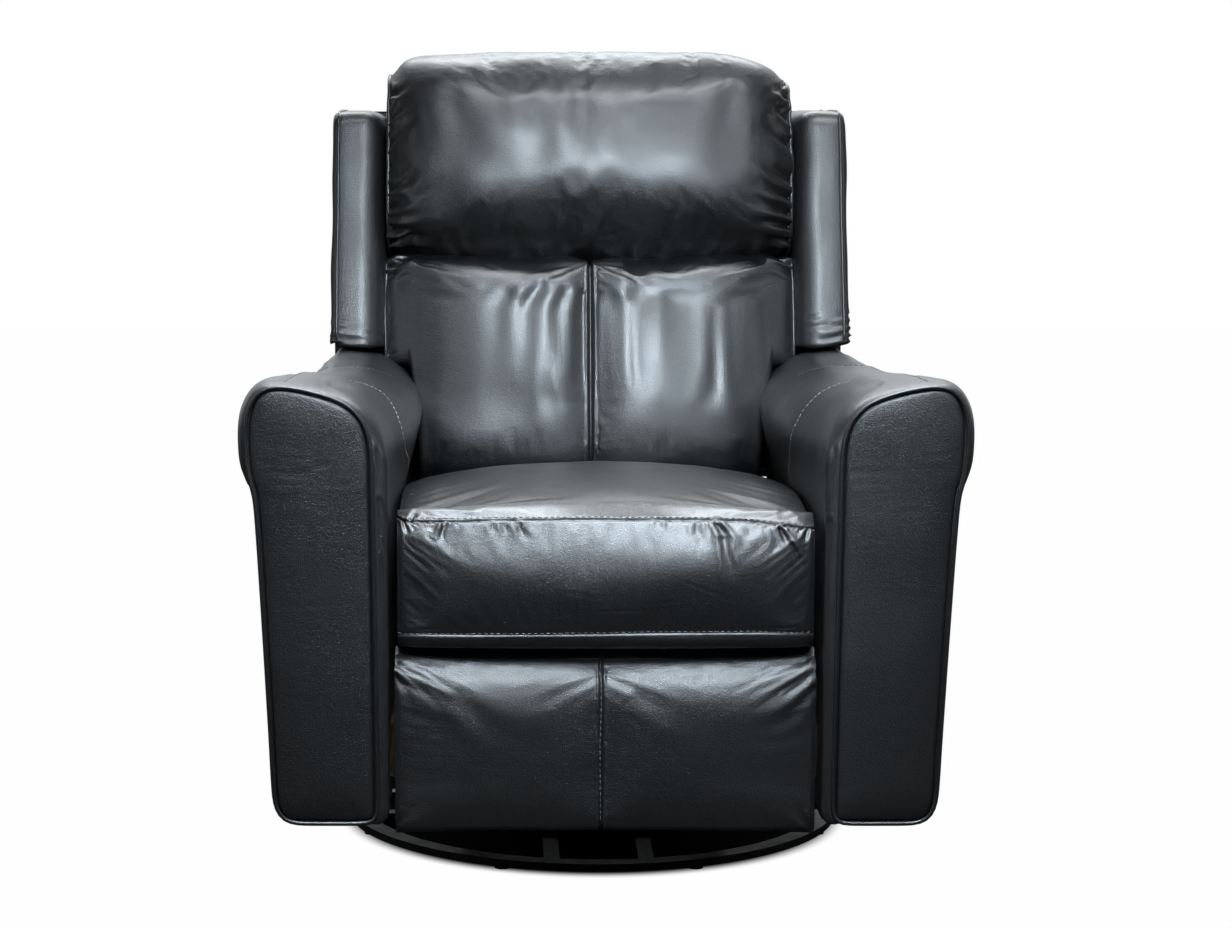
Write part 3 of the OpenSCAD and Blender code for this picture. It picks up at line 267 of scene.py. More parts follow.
def on_picture(points):
    away = points - EYE
    depth = away @ AHEAD
    return np.stack([AIM_COLUMN + FOCAL * away[:, 0] / depth,
                     PICTURE_HIGH / 2 - FOCAL * (away @ ABOVE) / depth], 1)


def tree_of(obj):
    return BVHTree.FromPolygons([v.co[:] for v in obj.data.vertices], [p.vertices[:] for p in obj.data.polygons])


def from_picture(obj, spots):
    """The places on a piece that the given columns and rows show."""
    tree = tree_of(obj)
    found = []
    for column, row in spots:
        look = AHEAD + RIGHT * (column - AIM_COLUMN) / FOCAL - ABOVE * (row - PICTURE_HIGH / 2) / FOCAL
        place = tree.ray_cast(Vector(EYE) * MM, Vector(look).normalized())[0]
        if place is not None:
            found.append(np.array(place) / MM)
    return np.array(found)


print("camera set")

# %% [markdown]
# ## Building soft forms
# A cushion is lofted: a row of closed outlines from one side to the other. Lofting keeps the outline's own
# corners where a seam will lie, and leaves a regular net of points for folds and dents.

# %% Mesh helpers
def make_mesh(name, points, faces):
    mesh = bpy.data.meshes.new(name)
    mesh.from_pydata((np.asarray(points) * MM).tolist(), [], faces)
    obj = bpy.data.objects.new(name, mesh)
    scene.collection.objects.link(obj)
    work = bmesh.new()
    work.from_mesh(mesh)
    bmesh.ops.recalc_face_normals(work, faces=work.faces)
    work.to_mesh(mesh)
    work.free()
    mesh.polygons.foreach_set("use_smooth", [True] * len(mesh.polygons))
    return obj


def loft_faces(rows, count, first=0):
    faces = []
    for i in range(rows - 1):
        for k in range(count):
            a, b = first + i * count + k, first + i * count + (k + 1) % count
            faces.append((a, b, b + count, a + count))
    faces.append(tuple(range(first, first + count)))
    faces.append(tuple(first + rows * count - 1 - k for k in range(count)))
    return faces


def loft(name, *shells):
    """One piece of one or more closed shells, each a row of rings with equally many points."""
    points, faces = [], []
    for rings in shells:
        rings = np.asarray(rings, float)
        rows, count, _ = rings.shape
        faces += loft_faces(rows, count, len(points))
        points += rings.reshape(-1, 3).tolist()
    return make_mesh(name, points, faces)


def read(obj, field):
    values = np.empty(len(obj.data.vertices) * 3)
    obj.data.vertices.foreach_get(field, values)
    return values.reshape(-1, 3)


def points_of(obj):
    return read(obj, "co") / MM


def set_points(obj, points):
    obj.data.vertices.foreach_set("co", (np.asarray(points) * MM).ravel())
    obj.data.update()


def push(obj, amount):
    """Moves each point along its normal, by an amount in millimetres."""
    set_points(obj, points_of(obj) + read(obj, "normal") * np.asarray(amount)[:, None])


def dress(obj, body, finish, replaces=()):
    """Gives a piece its finish, its body, and the frame's solids that it stands for."""
    obj.data.materials.clear()
    obj.data.materials.append(finish)
    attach(obj, body)
    if replaces:
        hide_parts(*replaces)
    return obj


SIDES = ((-1, "left"), (1, "right"))
print("mesh helpers ready")

# %% [markdown]
# The back leans by 16 degrees about the recline hinge. Its pieces are easier to draw square to that lean,
# so helpers turn a depth v and a height u along the back into the room's own y and z, and back. The others
# draw outlines, and run rings of points from one side of a cushion to the other.

# %% Places on the leaning back, and outlines
RAKE = math.radians(16)
HINGE_Y, HINGE_Z = 195, 345
EASE_REACH, EASE_STEPS = 14, 9
SEAM_STEPS = 25


def on_back(x, v, u):
    y = HINGE_Y + v * math.cos(RAKE) + u * math.sin(RAKE)
    z = HINGE_Z - v * math.sin(RAKE) + u * math.cos(RAKE)
    return np.stack(np.broadcast_arrays(x, y, z), -1).astype(float)


def to_back(points):
    y, z = points[:, 1] - HINGE_Y, points[:, 2] - HINGE_Z
    return points[:, 0], y * math.cos(RAKE) - z * math.sin(RAKE), y * math.sin(RAKE) + z * math.cos(RAKE)


def rise_to(z, v):
    """The height along the back at which depth v reaches the room's height z."""
    return (z - HINGE_Z + v * math.sin(RAKE)) / math.cos(RAKE)


def smooth_step(t):
    t = np.clip(t, 0, 1)
    return t * t * (3 - 2 * t)


def gauss(distance, width):
    return np.exp(-(np.asarray(distance) / width) ** 2)


def eased(x, span, values):
    """A value that runs smoothly through the given ones."""
    reach = np.linspace(-EASE_REACH, EASE_REACH, EASE_STEPS)
    return float(np.mean(np.interp(x + reach, span, values)))


def squared(wave, power):
    """A wave from -1 to 1 that dwells near its ends, the more so the smaller the power."""
    return np.sign(wave) * np.abs(wave) ** power


def shrunk(line, share):
    middle = line.mean(0)
    return middle + (line - middle) * share


def oval(front, rear, low, top, low_power, top_power, count):
    """A rounded outline in depth and height, boxier as a power grows."""
    angle = np.linspace(0, 2 * math.pi, count, endpoint=False)
    power = np.where(np.sin(angle) < 0, low_power, top_power)
    across, rise = squared(np.cos(angle), 2 / power), squared(np.sin(angle), 2 / power)
    return (front + rear) / 2 + (rear - front) / 2 * across, (low + top) / 2 + (top - low) / 2 * rise


def across_steps(count, seams=(), reach=0.04):
    """Steps from -1 to 1, closer together towards both ends and beside each seam."""
    steps = list(np.sin(np.linspace(-math.pi / 2, math.pi / 2, count)))
    for seam in seams:
        steps = [t for t in steps if abs(t - seam) > reach]
        steps += list(np.linspace(seam - reach, seam + reach, SEAM_STEPS))
    return np.sort(steps)


def curve_through(points, counts):
    """A closed smooth curve through points, with counts[i] places from point i to the next."""
    points = np.asarray(points, float)
    total = len(points)
    out = []
    for i, count in enumerate(counts):
        p0, p1, p2, p3 = (points[(i + k) % total] for k in (-1, 0, 1, 2))
        t = np.linspace(0, 1, count, endpoint=False)[:, None]
        out.append(0.5 * (2 * p1 + (p2 - p0) * t + (2 * p0 - 5 * p1 + 4 * p2 - p3) * t ** 2
                          + (3 * p1 - p0 - 3 * p2 + p3) * t ** 3))
    return np.vstack(out)


def even_ring(line, count):
    """A closed line cut into equal steps."""
    line = np.vstack([line, line[:1]])
    along = np.concatenate([[0], np.cumsum(np.linalg.norm(np.diff(line, axis=0), axis=1))])
    wanted = np.linspace(0, along[-1], count, endpoint=False)
    return np.stack([np.interp(wanted, along, line[:, i]) for i in range(line.shape[1])], 1)


def steady(path, rounds=4, closed=False):
    """Evens out a line by pulling each point towards its neighbours."""
    path = np.array(path, float)
    for _ in range(rounds):
        calm = 0.25 * np.roll(path, 1, 0) + 0.5 * path + 0.25 * np.roll(path, -1, 0)
        if not closed:
            calm[0], calm[-1] = path[0], path[-1]
        path = calm
    return path


def gusset(ring, rows, layers):
    """Rings from one side to the other, with a narrow side panel that bulges at each end."""
    rings = [ring(t) for t in rows]
    for shrink, out in layers:
        rings = [ring(-1, shrink, -out)] + rings + [ring(1, shrink, out)]
    return rings


NOISE_STEP = (17.3, -9.1, 5.7)


def soft_noise(points, size, seed):
    """Smooth noise from about -1 to 1, with blobs of about size millimetres."""
    shift = Vector([step * seed for step in NOISE_STEP])
    return np.array([noise.noise(Vector(p) / size + shift) for p in points])


def lumps_of(points, *layers):
    """Lumps in millimetres, from layers that each have a size, a seed and a height."""
    return sum(soft_noise(points, size, seed) * height for size, seed, height in layers)


print("outline helpers ready")

# %% [markdown]
# Where a seam is shorter than the leather it gathers, folds run away from it, deepest at the seam. Each
# fold is a valley with a low ridge on either side, along a slightly bent line that fades out. A fold is
# placed by the column and row of its two ends in the picture, its depth is in millimetres, and its width
# and bend are in steps of the picture, which are about 1.3 millimetres.

# %% Folds
Fold = namedtuple("Fold", "start end depth width bend", defaults=(0,))
Gather = namedtuple("Gather", "seam aim count reach depth width seed")
FOLD_START, FOLD_GROWTH = 0.7, 0.9
RIDGE_HEIGHT, RIDGE_PLACE = 0.6, 1.9
PLACE_RANGE, REACH_RANGE, SWAY_RANGE = (0.15, 0.85), (0.45, 1.2), (-0.12, 0.12)
DEPTH_RANGE, WIDTH_RANGE, BEND_RANGE = (0.35, 1.15), (0.7, 1.3), (-0.08, 0.08)


def fold_depth(flat, fold):
    start, end = np.asarray(fold.start, float), np.asarray(fold.end, float)
    run = end - start
    length = np.linalg.norm(run)
    along = run / length
    side = np.array([-along[1], along[0]])
    t = np.clip((flat - start) @ along / length, 0, 1)
    line = start + t[:, None] * run + (fold.bend * np.sin(math.pi * t))[:, None] * side
    away = np.linalg.norm(flat - line, axis=1)
    spread = fold.width * (FOLD_START + FOLD_GROWTH * t)
    fade = (1 - smooth_step((t - 0.1) / 0.9)) * smooth_step(4 - away / spread)
    ridge = RIDGE_HEIGHT * gauss(away - RIDGE_PLACE * spread, spread)
    return fold.depth * fade * (-gauss(away, spread) + ridge)


def all_folds(flat, folds):
    return sum((fold_depth(flat, fold) for fold in folds), np.zeros(len(flat)))


def gathers(row):
    """Folds that leave a seam, given as a line in the picture, and lean towards the place aim."""
    random = np.random.default_rng(row.seed)
    seam, aim, count = np.asarray(row.seam, float), np.asarray(row.aim, float), row.count
    share = (np.arange(count) + random.uniform(*PLACE_RANGE, count)) / count * (len(seam) - 1)
    made = []
    for s in share:
        k = min(int(s), len(seam) - 2)
        start = seam[k] + (seam[k + 1] - seam[k]) * (s - k)
        toward = aim - start
        far = row.reach * random.uniform(*REACH_RANGE)
        end = start + toward / np.linalg.norm(toward) * far + random.uniform(*SWAY_RANGE, 2) * far
        made.append(Fold(start, end, row.depth * random.uniform(*DEPTH_RANGE),
                         row.width * random.uniform(*WIDTH_RANGE), random.uniform(*BEND_RANGE) * far))
    return made


def sewn_folds(flat, folds, *rows):
    """The depth of single folds and of rows of gathers together."""
    total = all_folds(flat, folds)
    for row in rows:
        total = total + all_folds(flat, gathers(row))
    return total


def near_line(flat, line):
    """How far each point of the picture is from a bent line of it."""
    best = np.full(len(flat), 1e9)
    for a, b in zip(line, line[1:]):
        a, b = np.array(a, float), np.array(b, float)
        t = np.clip((flat - a) @ (b - a) / ((b - a) @ (b - a)), 0, 1)
        best = np.minimum(best, np.linalg.norm(flat - a - t[:, None] * (b - a), axis=1))
    return best


print("fold helpers ready")

# %% [markdown]
# ## Welts and stitches
# A welt is a cord sewn into a strip of leather and laid along a seam: a thin tube here, swept along a line
# that is first laid on the cushion under it. A top stitch is a row of short, separate loops of thread,
# each a little spindle that lies on the leather.

# %% Lines on a surface, tubes along them and stitches on them
def resample(path, pitch):
    path = np.asarray(path, float)
    along = np.concatenate([[0], np.cumsum(np.linalg.norm(np.diff(path, axis=0), axis=1))])
    wanted = np.linspace(0, along[-1], max(2, int(round(along[-1] / pitch)) + 1))
    return np.stack([np.interp(wanted, along, path[:, i]) for i in range(3)], 1)


def lay_on(obj, path, lift=0.0):
    """Moves each point of a path to the nearest place on a piece, and gives the surface's normals too."""
    tree = tree_of(obj)
    places, ups = [], []
    for p in path:
        place, up, _, _ = tree.find_nearest(Vector(p) * MM)
        places.append(np.array(place) / MM + np.array(up) * lift)
        ups.append(np.array(up))
    return np.array(places), np.array(ups)


START_SIDE = (0.31, 0.52, 0.79)
TIP = 0.25


def tube(name, path, radius, closed=False, sides=10):
    """A round tube along a path, whose radius may change along it."""
    path = np.asarray(path, float)
    count = len(path)
    ahead = np.roll(path, -1, 0) - np.roll(path, 1, 0)
    if not closed:
        ahead[0], ahead[-1] = path[1] - path[0], path[-1] - path[-2]
    ahead /= np.linalg.norm(ahead, axis=1)[:, None]
    radius = np.broadcast_to(np.asarray(radius, float), (count,))
    side = np.cross(ahead[0], START_SIDE)
    angle = np.linspace(0, 2 * math.pi, sides, endpoint=False)[:, None]
    rings = []
    for i in range(count):
        side = side - ahead[i] * (side @ ahead[i])
        side /= np.linalg.norm(side)
        up = np.cross(side, ahead[i])
        rings.append(path[i] + radius[i] * (np.cos(angle) * side + np.sin(angle) * up))
    if not closed:
        return loft(name, rings)
    faces = [(i * sides + k, i * sides + (k + 1) % sides,
              (i + 1) % count * sides + (k + 1) % sides, (i + 1) % count * sides + k)
             for i in range(count) for k in range(sides)]
    return make_mesh(name, np.array(rings).reshape(-1, 3), faces)


def tapered(count, radius, ends=3):
    """A radius for each point of a tube that narrows over its last few points."""
    edge = np.minimum(np.arange(count), count - 1 - np.arange(count))
    return radius * (TIP + (1 - TIP) * smooth_step(edge / ends))


WELT_PITCH, WELT_ROUNDS = 5, 6
STITCH, STITCH_GAP, STITCH_LIFT, THREAD_R, THREAD_SIDES = 5.0, 2.4, 0.1, 0.62, 6
LAY_PITCH, THREAD_BOW, THREAD_FLAT = 3, 0.6, 0.8
SPINDLE = ((0, 0.35), (0.18, 0.95), (0.5, 1.1), (0.82, 0.95), (1, 0.35))


def welt(name, obj, path, radius, body, lift):
    """A leather welt along a path on a piece."""
    line = steady(lay_on(obj, resample(path, WELT_PITCH), lift)[0], WELT_ROUNDS)
    return dress(tube(name, line, tapered(len(line), radius)), body, leather_welt)


def stitches(name, obj, path, body, finish=thread):
    """Top stitches along a path on a piece."""
    laid = lay_on(obj, resample(path, LAY_PITCH), STITCH_LIFT)[0]
    line = resample(steady(laid, 3), STITCH + STITCH_GAP)
    ups = lay_on(obj, line)[1]
    angle = np.linspace(0, 2 * math.pi, THREAD_SIDES, endpoint=False)[:, None]
    shells = []
    for i in range(len(line) - 1):
        run = line[i + 1] - line[i]
        run /= np.linalg.norm(run)
        side = np.cross(run, ups[i])
        side /= np.linalg.norm(side)
        up = np.cross(side, run)
        shells.append([line[i] + run * STITCH * along + up * math.sin(math.pi * along) * THREAD_R * THREAD_BOW
                       + THREAD_R * wide * (np.cos(angle) * side + THREAD_FLAT * np.sin(angle) * up)
                       for along, wide in SPINDLE])
    print(name, len(shells), "stitches")
    return dress(loft(name, *shells), body, finish)


print("seam helpers ready")

# %% [markdown]
# ## Stuffing by simulation
# A lofted form is too tidy for a stuffed one. The Cloth solver blows it up a little from inside, while its
# sewn edges stay pinned, and the spare leather between them finds its own bulges and gathers. A cap on the
# movement keeps the cushion in the room that its CAD solid has.

# %% Swelling a piece with pressure
PRESSURE, CLOTH_FRAMES, CLOTH_QUALITY = 4.0, 14, 4
HIDE_MASS, HIDE_TENSION, HIDE_SHEAR, HIDE_BENDING = 0.3, 12, 6, 0.6


def swell(obj, pinned, cap=24.0, spare=0.01):
    """Blows a piece up as cloth. pinned gives each point from 0, free, to 1, sewn fast, cap is in millimetres,
    and spare is the share by which the leather is longer than the form."""
    before = points_of(obj)
    group = obj.vertex_groups.new(name="sewn")
    for i, share in enumerate(pinned(before)):
        if share > 0.01:
            group.add([i], float(min(share, 1.0)), "REPLACE")
    cloth = obj.modifiers.new("cloth", "CLOTH")
    held = cloth.settings
    held.quality = CLOTH_QUALITY
    held.mass = HIDE_MASS
    held.tension_stiffness = held.compression_stiffness = HIDE_TENSION
    held.shear_stiffness = HIDE_SHEAR
    held.bending_stiffness = HIDE_BENDING
    held.use_pressure = True
    held.uniform_pressure_force = PRESSURE
    held.vertex_group_mass = "sewn"
    held.shrink_min = -spare
    held.effector_weights.gravity = 0
    cloth.collision_settings.use_collision = False
    cloth.point_cache.frame_start = 1
    cloth.point_cache.frame_end = CLOTH_FRAMES
    for number in range(1, CLOTH_FRAMES + 1):
        scene.frame_set(number)
    blown = obj.evaluated_get(bpy.context.evaluated_depsgraph_get()).to_mesh()
    after = np.empty(len(blown.vertices) * 3)
    blown.vertices.foreach_get("co", after)
    moved = after.reshape(-1, 3) / MM - before
    obj.modifiers.clear()
    obj.vertex_groups.clear()
    scene.frame_set(1)
    size = np.linalg.norm(moved, axis=1)
    set_points(obj, before + moved * (cap * np.tanh(size / cap) / np.maximum(size, 1e-6))[:, None])
    print(obj.name, "swelled by up to", round(float(size.max()), 1), "mm")


print("cloth helper ready")

# %% [markdown]
# ## Head pillow
# The pillow is the fullest piece: a loose fibre filling in a cover that is gathered into its two side
# seams, so folds fan out from them, deepest at the lower corners where the filling sags. Its top falls
# away to the corners, and its lower edge hangs a little in the middle.

# %% Head pillow
PILLOW_HALF, PILLOW_LOW, PILLOW_TOP, PILLOW_FRONT, REAR_V = 281, 380, 683, -224, 16
PILLOW_ROWS, PILLOW_COUNT = 170, 230
PILLOW_SEWN_X, PILLOW_SEWN_V = 268, -50
TOP_SPAN = (-281, -268, -254, -210, -162, -48, 65, 120, 165, 207, 250, 270, 281)
TOP_DROP = (30, 10, 5, 3, 2, 1, 0, 0, 1, 5, 14, 24, 42)
LOW_SPAN = (-281, -230, -160, -80, 0, 80, 160, 230, 281)
LOW_LIFT = (14, 13, 9, 3, 0, 3, 9, 13, 14)


def pillow_ring(t, shrink=1.0, out=0.0):
    x = t * PILLOW_HALF
    top = PILLOW_TOP - eased(x, TOP_SPAN, TOP_DROP)
    low = PILLOW_LOW + eased(x, LOW_SPAN, LOW_LIFT)
    front = PILLOW_FRONT * (1 - 0.2 * abs(t) ** 9 - 0.035 * t * t)
    v, u = oval(front, REAR_V, low, top, 3.8, 2.8, PILLOW_COUNT)
    return on_back(x + out, shrunk(v, shrink), shrunk(u, shrink))


PILLOW_GUSSET = ((0.985, 1.6), (0.93, 3.6), (0.8, 5), (0.55, 5.5), (0.25, 6), (0.04, 6))
head_pillow = loft("head_pillow_cover", gusset(pillow_ring, across_steps(PILLOW_ROWS), PILLOW_GUSSET))


def sewn_pillow(points):
    x, v, _ = to_back(points)
    return np.maximum(smooth_step((np.abs(x) - PILLOW_SEWN_X) / 12), smooth_step((v - PILLOW_SEWN_V) / 60))


swell(head_pillow, sewn_pillow)

LEFT_SEAM = [(388, 84), (384, 120), (382, 160), (382, 195), (384, 228), (390, 248)]
RIGHT_SEAM = [(783, 80), (791, 110), (795, 140), (794, 170), (797, 215), (796, 245)]
PILLOW_FOLDS = [
    Fold((387, 97), (414, 84), 3.5, 2.6), Fold((386, 124), (420, 98), 4.5, 3, -3),
    Fold((385, 148), (412, 117), 4, 3), Fold((385, 171), (426, 138), 5, 3.2, -4),
    Fold((385, 192), (425, 172), 4.5, 3.2), Fold((385, 211), (422, 192), 5, 3.5),
    Fold((386, 227), (442, 227), 7, 4, 5), Fold((391, 241), (447, 243), 7, 3.2, -4),
    Fold((793, 104), (766, 76), 4, 2.8), Fold((794, 127), (760, 96), 5.5, 3.2, 3),
    Fold((795, 150), (748, 118), 6.5, 3.6, 3), Fold((794, 167), (742, 143), 6.5, 3.4, 3),
    Fold((795, 184), (740, 155), 6, 3.6, 3), Fold((796, 201), (748, 178), 5.5, 3.2),
    Fold((797, 216), (745, 198), 5.5, 3.2), Fold((797, 229), (744, 221), 6, 3, 3),
    Fold((796, 241), (752, 238), 6, 2.8),
    Fold((581, 86), (588, 196), 1.6, 11, 3), Fold((530, 110), (558, 190), 0.8, 12, -3),
    Fold((540, 78), (508, 102), 1.2, 5), Fold((572, 180), (510, 226), 1.2, 14),
    Fold((452, 104), (470, 200), 1.8, 18), Fold((730, 100), (722, 200), 1.6, 16),
]
points = points_of(head_pillow)
flat = on_picture(points)
x, v, _ = to_back(points)
front = smooth_step((-v - 12) / 50)
folds = sewn_folds(flat, PILLOW_FOLDS,
                   Gather(LEFT_SEAM, aim=(470, 150), count=11, reach=34, depth=2.2, width=3.0, seed=3),
                   Gather(RIGHT_SEAM, aim=(700, 130), count=11, reach=38, depth=2.2, width=3.2, seed=8))
lumps = lumps_of(points, (120, 2, 5), (52, 5, 1.8))
from_seam = PILLOW_HALF - np.abs(x)
push(head_pillow, front * (folds * smooth_step((from_seam + 1.5) / 3) + lumps * smooth_step(from_seam / 40)))
dress(head_pillow, "back", leather_main, ["head_pillow"])
print("head pillow:", len(head_pillow.data.vertices), "points")

# %% [markdown]
# ## Lumbar cushion
# Below the pillow the back has a firmer cushion of two panels. The seam between them is drawn in, with a
# lip on either side and a row of stitches on its left, and the leather slackens into shallow folds beside
# it. Above the arms the cushion is as wide as the back, and between them it narrows.

# %% Lumbar cushion
LUMBAR_HALF, LUMBAR_LOW, LUMBAR_STEP, LUMBAR_TOP = 285, 60, 230, 386
LUMBAR_CROWN, LUMBAR_EDGE = 182, 136
LUMBAR_ROWS, LUMBAR_COUNT = 150, 210
STEP_SHARE, STEP_RUN = 0.82, 0.07


def lumbar_ring(t, shrink=1.0, out=0.0):
    step = smooth_step((abs(t) - STEP_SHARE) / STEP_RUN)
    low = LUMBAR_LOW + 12 * smooth_step((abs(t) - 0.66) / 0.12)
    low += (LUMBAR_STEP - low) * step
    top = LUMBAR_TOP - 4 + 14 * t * t - 8 * abs(t) ** 12
    crown = LUMBAR_CROWN + (LUMBAR_EDGE - LUMBAR_CROWN) * abs(t) ** 4
    v, u = oval(-crown, REAR_V, low, top, 4 + 5 * step, 9, LUMBAR_COUNT)
    return on_back(t * LUMBAR_HALF + out, shrunk(v, shrink), shrunk(u, shrink))


LUMBAR_GUSSET = ((0.97, 1.2), (0.85, 2.4), (0.5, 3), (0.05, 3))
lumbar = loft("lumbar_cover", gusset(lumbar_ring, across_steps(LUMBAR_ROWS, [0]), LUMBAR_GUSSET))


def sewn_lumbar(points):
    x, v, u = to_back(points)
    edges = np.maximum(smooth_step((np.abs(x) - 215) / 20) * smooth_step((300 - u) / 30),
                       smooth_step((np.abs(x) - 272) / 12))
    return np.maximum.reduce([edges, smooth_step((v + 40) / 50), gauss(x, 4), smooth_step((110 - u) / 40)])


swell(lumbar, sewn_lumbar, cap=22, spare=0.006)

LUMBAR_FOLDS = [
    Fold((540, 286), (517, 352), 2.6, 8, 8), Fold((566, 290), (556, 350), 2.2, 6, 5),
    Fold((584, 292), (578, 340), 1.4, 5), Fold((590, 345), (560, 404), 2.4, 8),
    Fold((508, 296), (480, 356), 1.6, 9, 6), Fold((547, 390), (560, 440), 1.4, 8),
    Fold((634, 262), (652, 306), 2.6, 9), Fold((629, 352), (648, 408), 2, 5, -2),
    Fold((716, 362), (704, 424), 2.2, 7, -2), Fold((655, 322), (716, 388), -3.6, 20),
    Fold((540, 330), (548, 404), -2.4, 15), Fold((612, 300), (625, 360), 1.6, 9),
    Fold((672, 300), (735, 285), 1.2, 11), Fold((792, 264), (748, 241), 5, 3),
    Fold((794, 252), (768, 237), 4, 2.6), Fold((797, 280), (772, 258), 3, 3),
    Fold((388, 268), (430, 245), 5, 3), Fold((387, 280), (412, 254), 3.5, 2.6),
    Fold((386, 305), (402, 282), 2.4, 3),
]
LUMBAR_LEFT = [(386, 262), (384, 300), (386, 340), (392, 374)]
LUMBAR_RIGHT = [(797, 262), (802, 300), (802, 340), (797, 372)]
MIDDLE_LEFT, MIDDLE_RIGHT = [(598, 262), (600, 460)], [(601, 262), (603, 460)]
points = points_of(lumbar)
flat = on_picture(points)
x, v, _ = to_back(points)
front = smooth_step((-v - 50) / 40)
seam = -5 * gauss(x, 2.0) + 1.2 * gauss(np.abs(x) - 4.6, 2.0) - 5.5 * gauss(x, 26)
folds = sewn_folds(flat, LUMBAR_FOLDS,
                   Gather(LUMBAR_LEFT, aim=(480, 300), count=9, reach=14, depth=1.8, width=2.2, seed=31),
                   Gather(LUMBAR_RIGHT, aim=(700, 300), count=9, reach=14, depth=1.8, width=2.2, seed=37),
                   Gather(MIDDLE_LEFT, aim=(430, 330), count=12, reach=13, depth=1.3, width=2.2, seed=12),
                   Gather(MIDDLE_RIGHT, aim=(770, 330), count=12, reach=13, depth=1.3, width=2.2, seed=14))
lumps = lumps_of(points, (100, 7, 4), (42, 9, 1.2))
push(lumbar, front * (seam + (folds + lumps) * smooth_step((np.abs(x) - 2) / 8)))
dress(lumbar, "back", leather_main, ["lumbar_cushion"])
print("lumbar cushion:", len(lumbar.data.vertices), "points")

# %% [markdown]
# One welt runs down each side of the pillow and of the lumbar cushion, and a row of stitches follows the
# middle seam on its left.

# %% Welts and stitches of the back
def edge_line(ring, keep, inset=0.8):
    """The part of a ring that keep allows, in order, pulled in a little from the very edge."""
    line = ring[keep]
    gap = np.argmax(np.linalg.norm(np.diff(np.vstack([line, line[:1]]), axis=0), axis=1))
    line = np.roll(line, -(gap + 1), 0)
    line[:, 0] -= np.sign(line[:, 0]) * inset
    return line


for side, word in SIDES:
    ring = pillow_ring(side)
    welt("pillow_welt_" + word, head_pillow, edge_line(ring, to_back(ring)[1] < 4), 2.7, "back", lift=1.4)
    ring = lumbar_ring(side)
    welt("lumbar_welt_" + word, lumbar, edge_line(ring, to_back(ring)[1] < -20), 2.5, "back", lift=1.2)
rise = np.linspace(LUMBAR_LOW + 30, LUMBAR_TOP - 22, 80)
STITCH_X, BEFORE_LUMBAR = -8.0, -190.0
stitches("lumbar_stitches", lumbar, on_back(STITCH_X, BEFORE_LUMBAR, rise), "back", thread_dark)

# %% [markdown]
# ## Wings
# The wings are firm pads over the frame's sides, cut from a side panel and a rounded front panel, with a
# welt near the outer edge. The leather bunches into level wrinkles where each wing meets its arm.

# %% Wings
WING_IN, WING_OUT, ROUND_IN, ROUND_OUT, NOSE = 286, 361, 36, 13, 26
WING_LOW_Z, WING_TOP_Z, WING_LOBE_Z, WING_STEP_Y = 626, 958, 430, 205
WING_SLANT = 0.11
WING_FRONT, WING_REAR = -170, 105
WING_ROWS, WING_COUNT = 31, 420
SIDE_INSETS = (20, 8, 2)
WING_WELT_INSET = 9.0


def on_line(v, z):
    """The point at height z on the line that runs up the back at depth v."""
    u = rise_to(z, v)
    return np.array([HINGE_Y + v * math.cos(RAKE) + u * math.sin(RAKE), z])


def wing_outline(inset, low=WING_LOW_Z, within=0):
    """Side outline of a wing: front edge, rounded nose, top, rear, lower lobe and the step over the arm."""
    low += 0.3 * min(inset, ROUND_OUT) + within
    inset += within
    nose = on_line(WING_FRONT + inset, WING_TOP_Z - inset)
    arc = [nose + NOSE * np.array([1 + math.cos(a), -1 + math.sin(a)])
           for a in np.linspace(math.pi, math.pi / 2, 9)]
    corners = [(WING_STEP_Y + inset, low), on_line(WING_FRONT + inset, low), *arc,
               on_line(WING_REAR - within, WING_TOP_Z - inset), on_line(WING_REAR - within, WING_LOBE_Z + inset),
               (WING_STEP_Y + inset, WING_LOBE_Z + inset)]
    return steady(even_ring(np.array(corners), WING_COUNT), 8, True)


def rounding(s, power):
    """From 0 in the middle to 1 at either end, along a rounded edge."""
    return 1 - (1 - abs(s) ** power) ** (1 / power) if abs(s) < 1 else 1.0


def wing_rings(side):
    rings = []
    steps = [(-1, within) for within in SIDE_INSETS] + [(s, 0) for s in across_steps(WING_ROWS)]
    steps += [(1, within) for within in reversed(SIDE_INSETS)]
    for s, within in steps:
        x = (WING_IN + WING_OUT) / 2 + (WING_OUT - WING_IN) / 2 * s
        inset = ROUND_IN * rounding(s, 2.2) if s < 0 else ROUND_OUT * rounding(s, 3.6)
        outline = wing_outline(inset, WING_LOW_Z + WING_SLANT * (x - WING_IN), within)
        rings.append(np.column_stack([np.full(WING_COUNT, side * x), outline]))
    return rings


